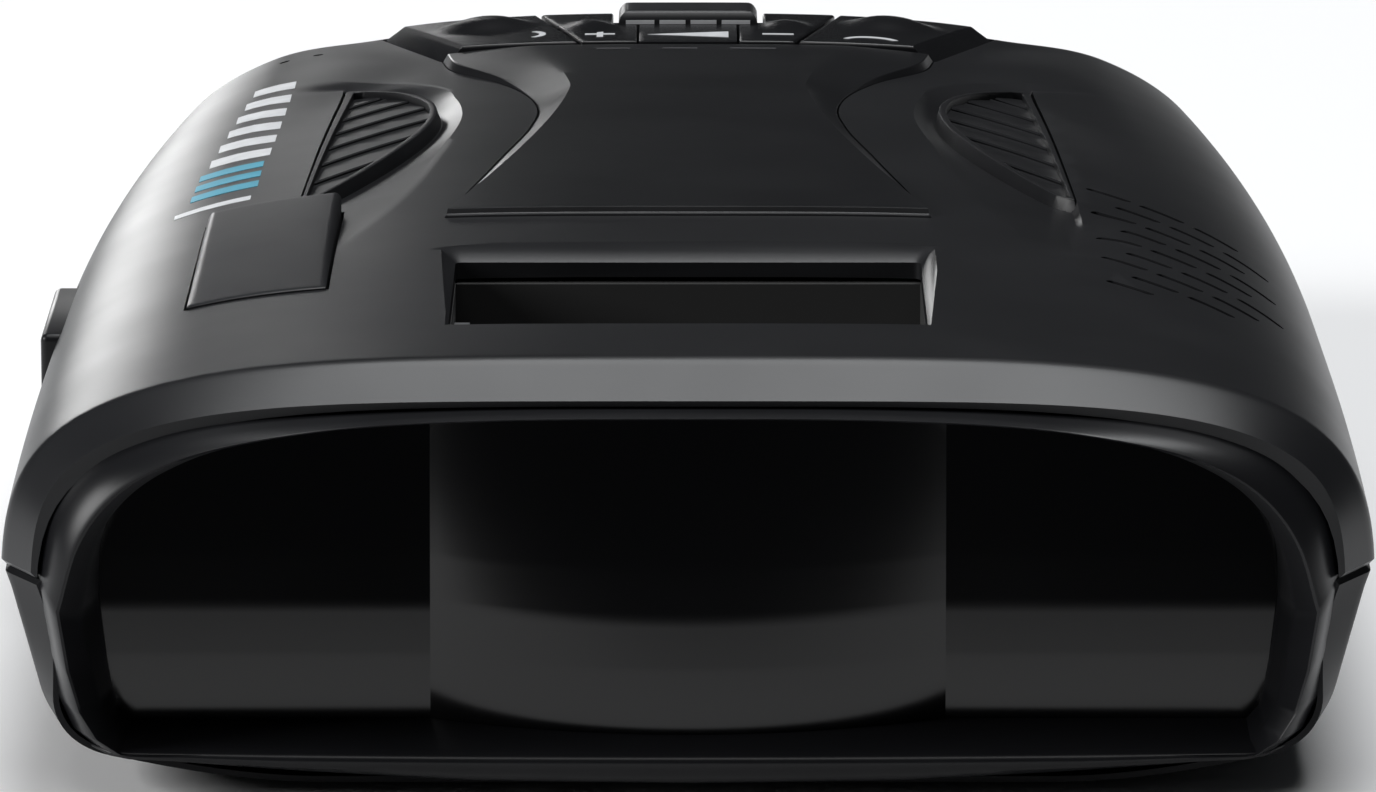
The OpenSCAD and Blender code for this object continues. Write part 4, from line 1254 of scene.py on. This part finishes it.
@dataclass
class Studio:
    """Floor, soft lights and camera. Each lamp is its name, place, aim, size, power and tint."""
    distance: float = 0.64567
    height: float = 0.15959
    tilt: float = 77.0
    sensor: float = 36.0
    lens: float = 36.0 * 9300.0 / 1376.0
    lamps: tuple = (
        ("left_softbox", (-1.02, -0.27, 0.52), (0, 0, 0.01), (0.5, 0.45), 9, (1, 1, 1)),
        ("rear_left_strip", (-0.30, 1.16, 0.09), (0, 0, 0.01), (0.16, 0.22), 0.75, (1, 1, 1)),
        ("rear_window", (-0.135, 1.2, 0.21), (0, 0, 0.01), (0.10, 0.10), 0.085, (1, 1, 1)),
        ("top_softbox", (0.12, 0.38, 1.25), (0, 0, 0), (0.76, 0.5), 11.5, (0.97, 0.985, 1.0)),
        ("front_softbox", (0.0, -0.30, 1.30), (0, -0.05, 0), (1.0, 0.5), 4, (1, 1, 1)))

    def floor(self) -> None:
        """A plain pale floor."""
        put_down()
        bpy.ops.mesh.primitive_plane_add(size=6.0, location=(0, 0, -0.0002))
        ground = bpy.context.active_object
        ground.name = "floor"
        paint = bpy.data.materials.new("pale_floor")
        paint.use_nodes = True
        sockets = paint.node_tree.nodes["Principled BSDF"].inputs
        sockets["Base Color"].default_value = (0.955, 0.955, 0.96, 1)
        sockets["Roughness"].default_value = 0.8
        sockets["Specular IOR Level"].default_value = 0.1
        ground.data.materials.append(paint)

    @staticmethod
    def softbox(name: str, where: Sequence[float], aim: Sequence[float], size: tuple[float, float],
                power: float, tint: Sequence[float]) -> None:
        """A soft rectangular light aimed at a point."""
        lamp = bpy.data.lights.new(name, "AREA")
        lamp.shape = "RECTANGLE"
        lamp.size, lamp.size_y = size
        lamp.energy = power
        lamp.color = tint
        holder = bpy.data.objects.new(name, lamp)
        bpy.context.scene.collection.objects.link(holder)
        holder.location = where
        x, y, z = np.array(aim, float) - np.array(where, float)
        holder.rotation_euler = (math.pi / 2 + math.atan2(z, math.hypot(x, y)), 0, math.atan2(y, x) - math.pi / 2)

    def build(self) -> None:
        """Set the floor, the lights, the surroundings and the camera."""
        self.floor()
        for lamp in self.lamps:
            self.softbox(*lamp)
        world = bpy.data.worlds.new("studio_air")
        world.use_nodes = True
        air = world.node_tree.nodes["Background"]
        air.inputs["Color"].default_value = (0.9, 0.95, 1.0, 1)
        air.inputs["Strength"].default_value = 0.02
        view = bpy.data.cameras.new("camera")
        view.lens, view.sensor_width = self.lens, self.sensor
        holder = bpy.data.objects.new("camera", view)
        holder.location = (0, -self.distance, self.height)
        holder.rotation_euler = (math.radians(self.tilt), 0, 0)
        scene = bpy.context.scene
        scene.collection.objects.link(holder)
        scene.world, scene.camera = world, holder
        scene.view_settings.view_transform = "Standard"


def main() -> None:
    """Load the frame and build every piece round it."""
    logging.basicConfig(level=logging.INFO, format="%(message)s")
    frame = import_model()
    put_down()
    Studio().build()
    openings, shells = Openings(), Shells()
    side_tools, low_side_tools = openings.sides(), openings.sides()
    shells.upper([*openings.top(), openings.speaker(), *openings.pins(), *side_tools])
    shells.lower(low_side_tools)
    for part in (Mouth, SpineCap, Vents, ReleaseButton, Keypad, DisplayEnd, PowerCollar, ShoulderMark):
        REPORT.info("building: %s", part.__name__)
        part().build()
    Insides(frame["nodes"]).dress()
    put_down()


if __name__ == "__main__":
    main()
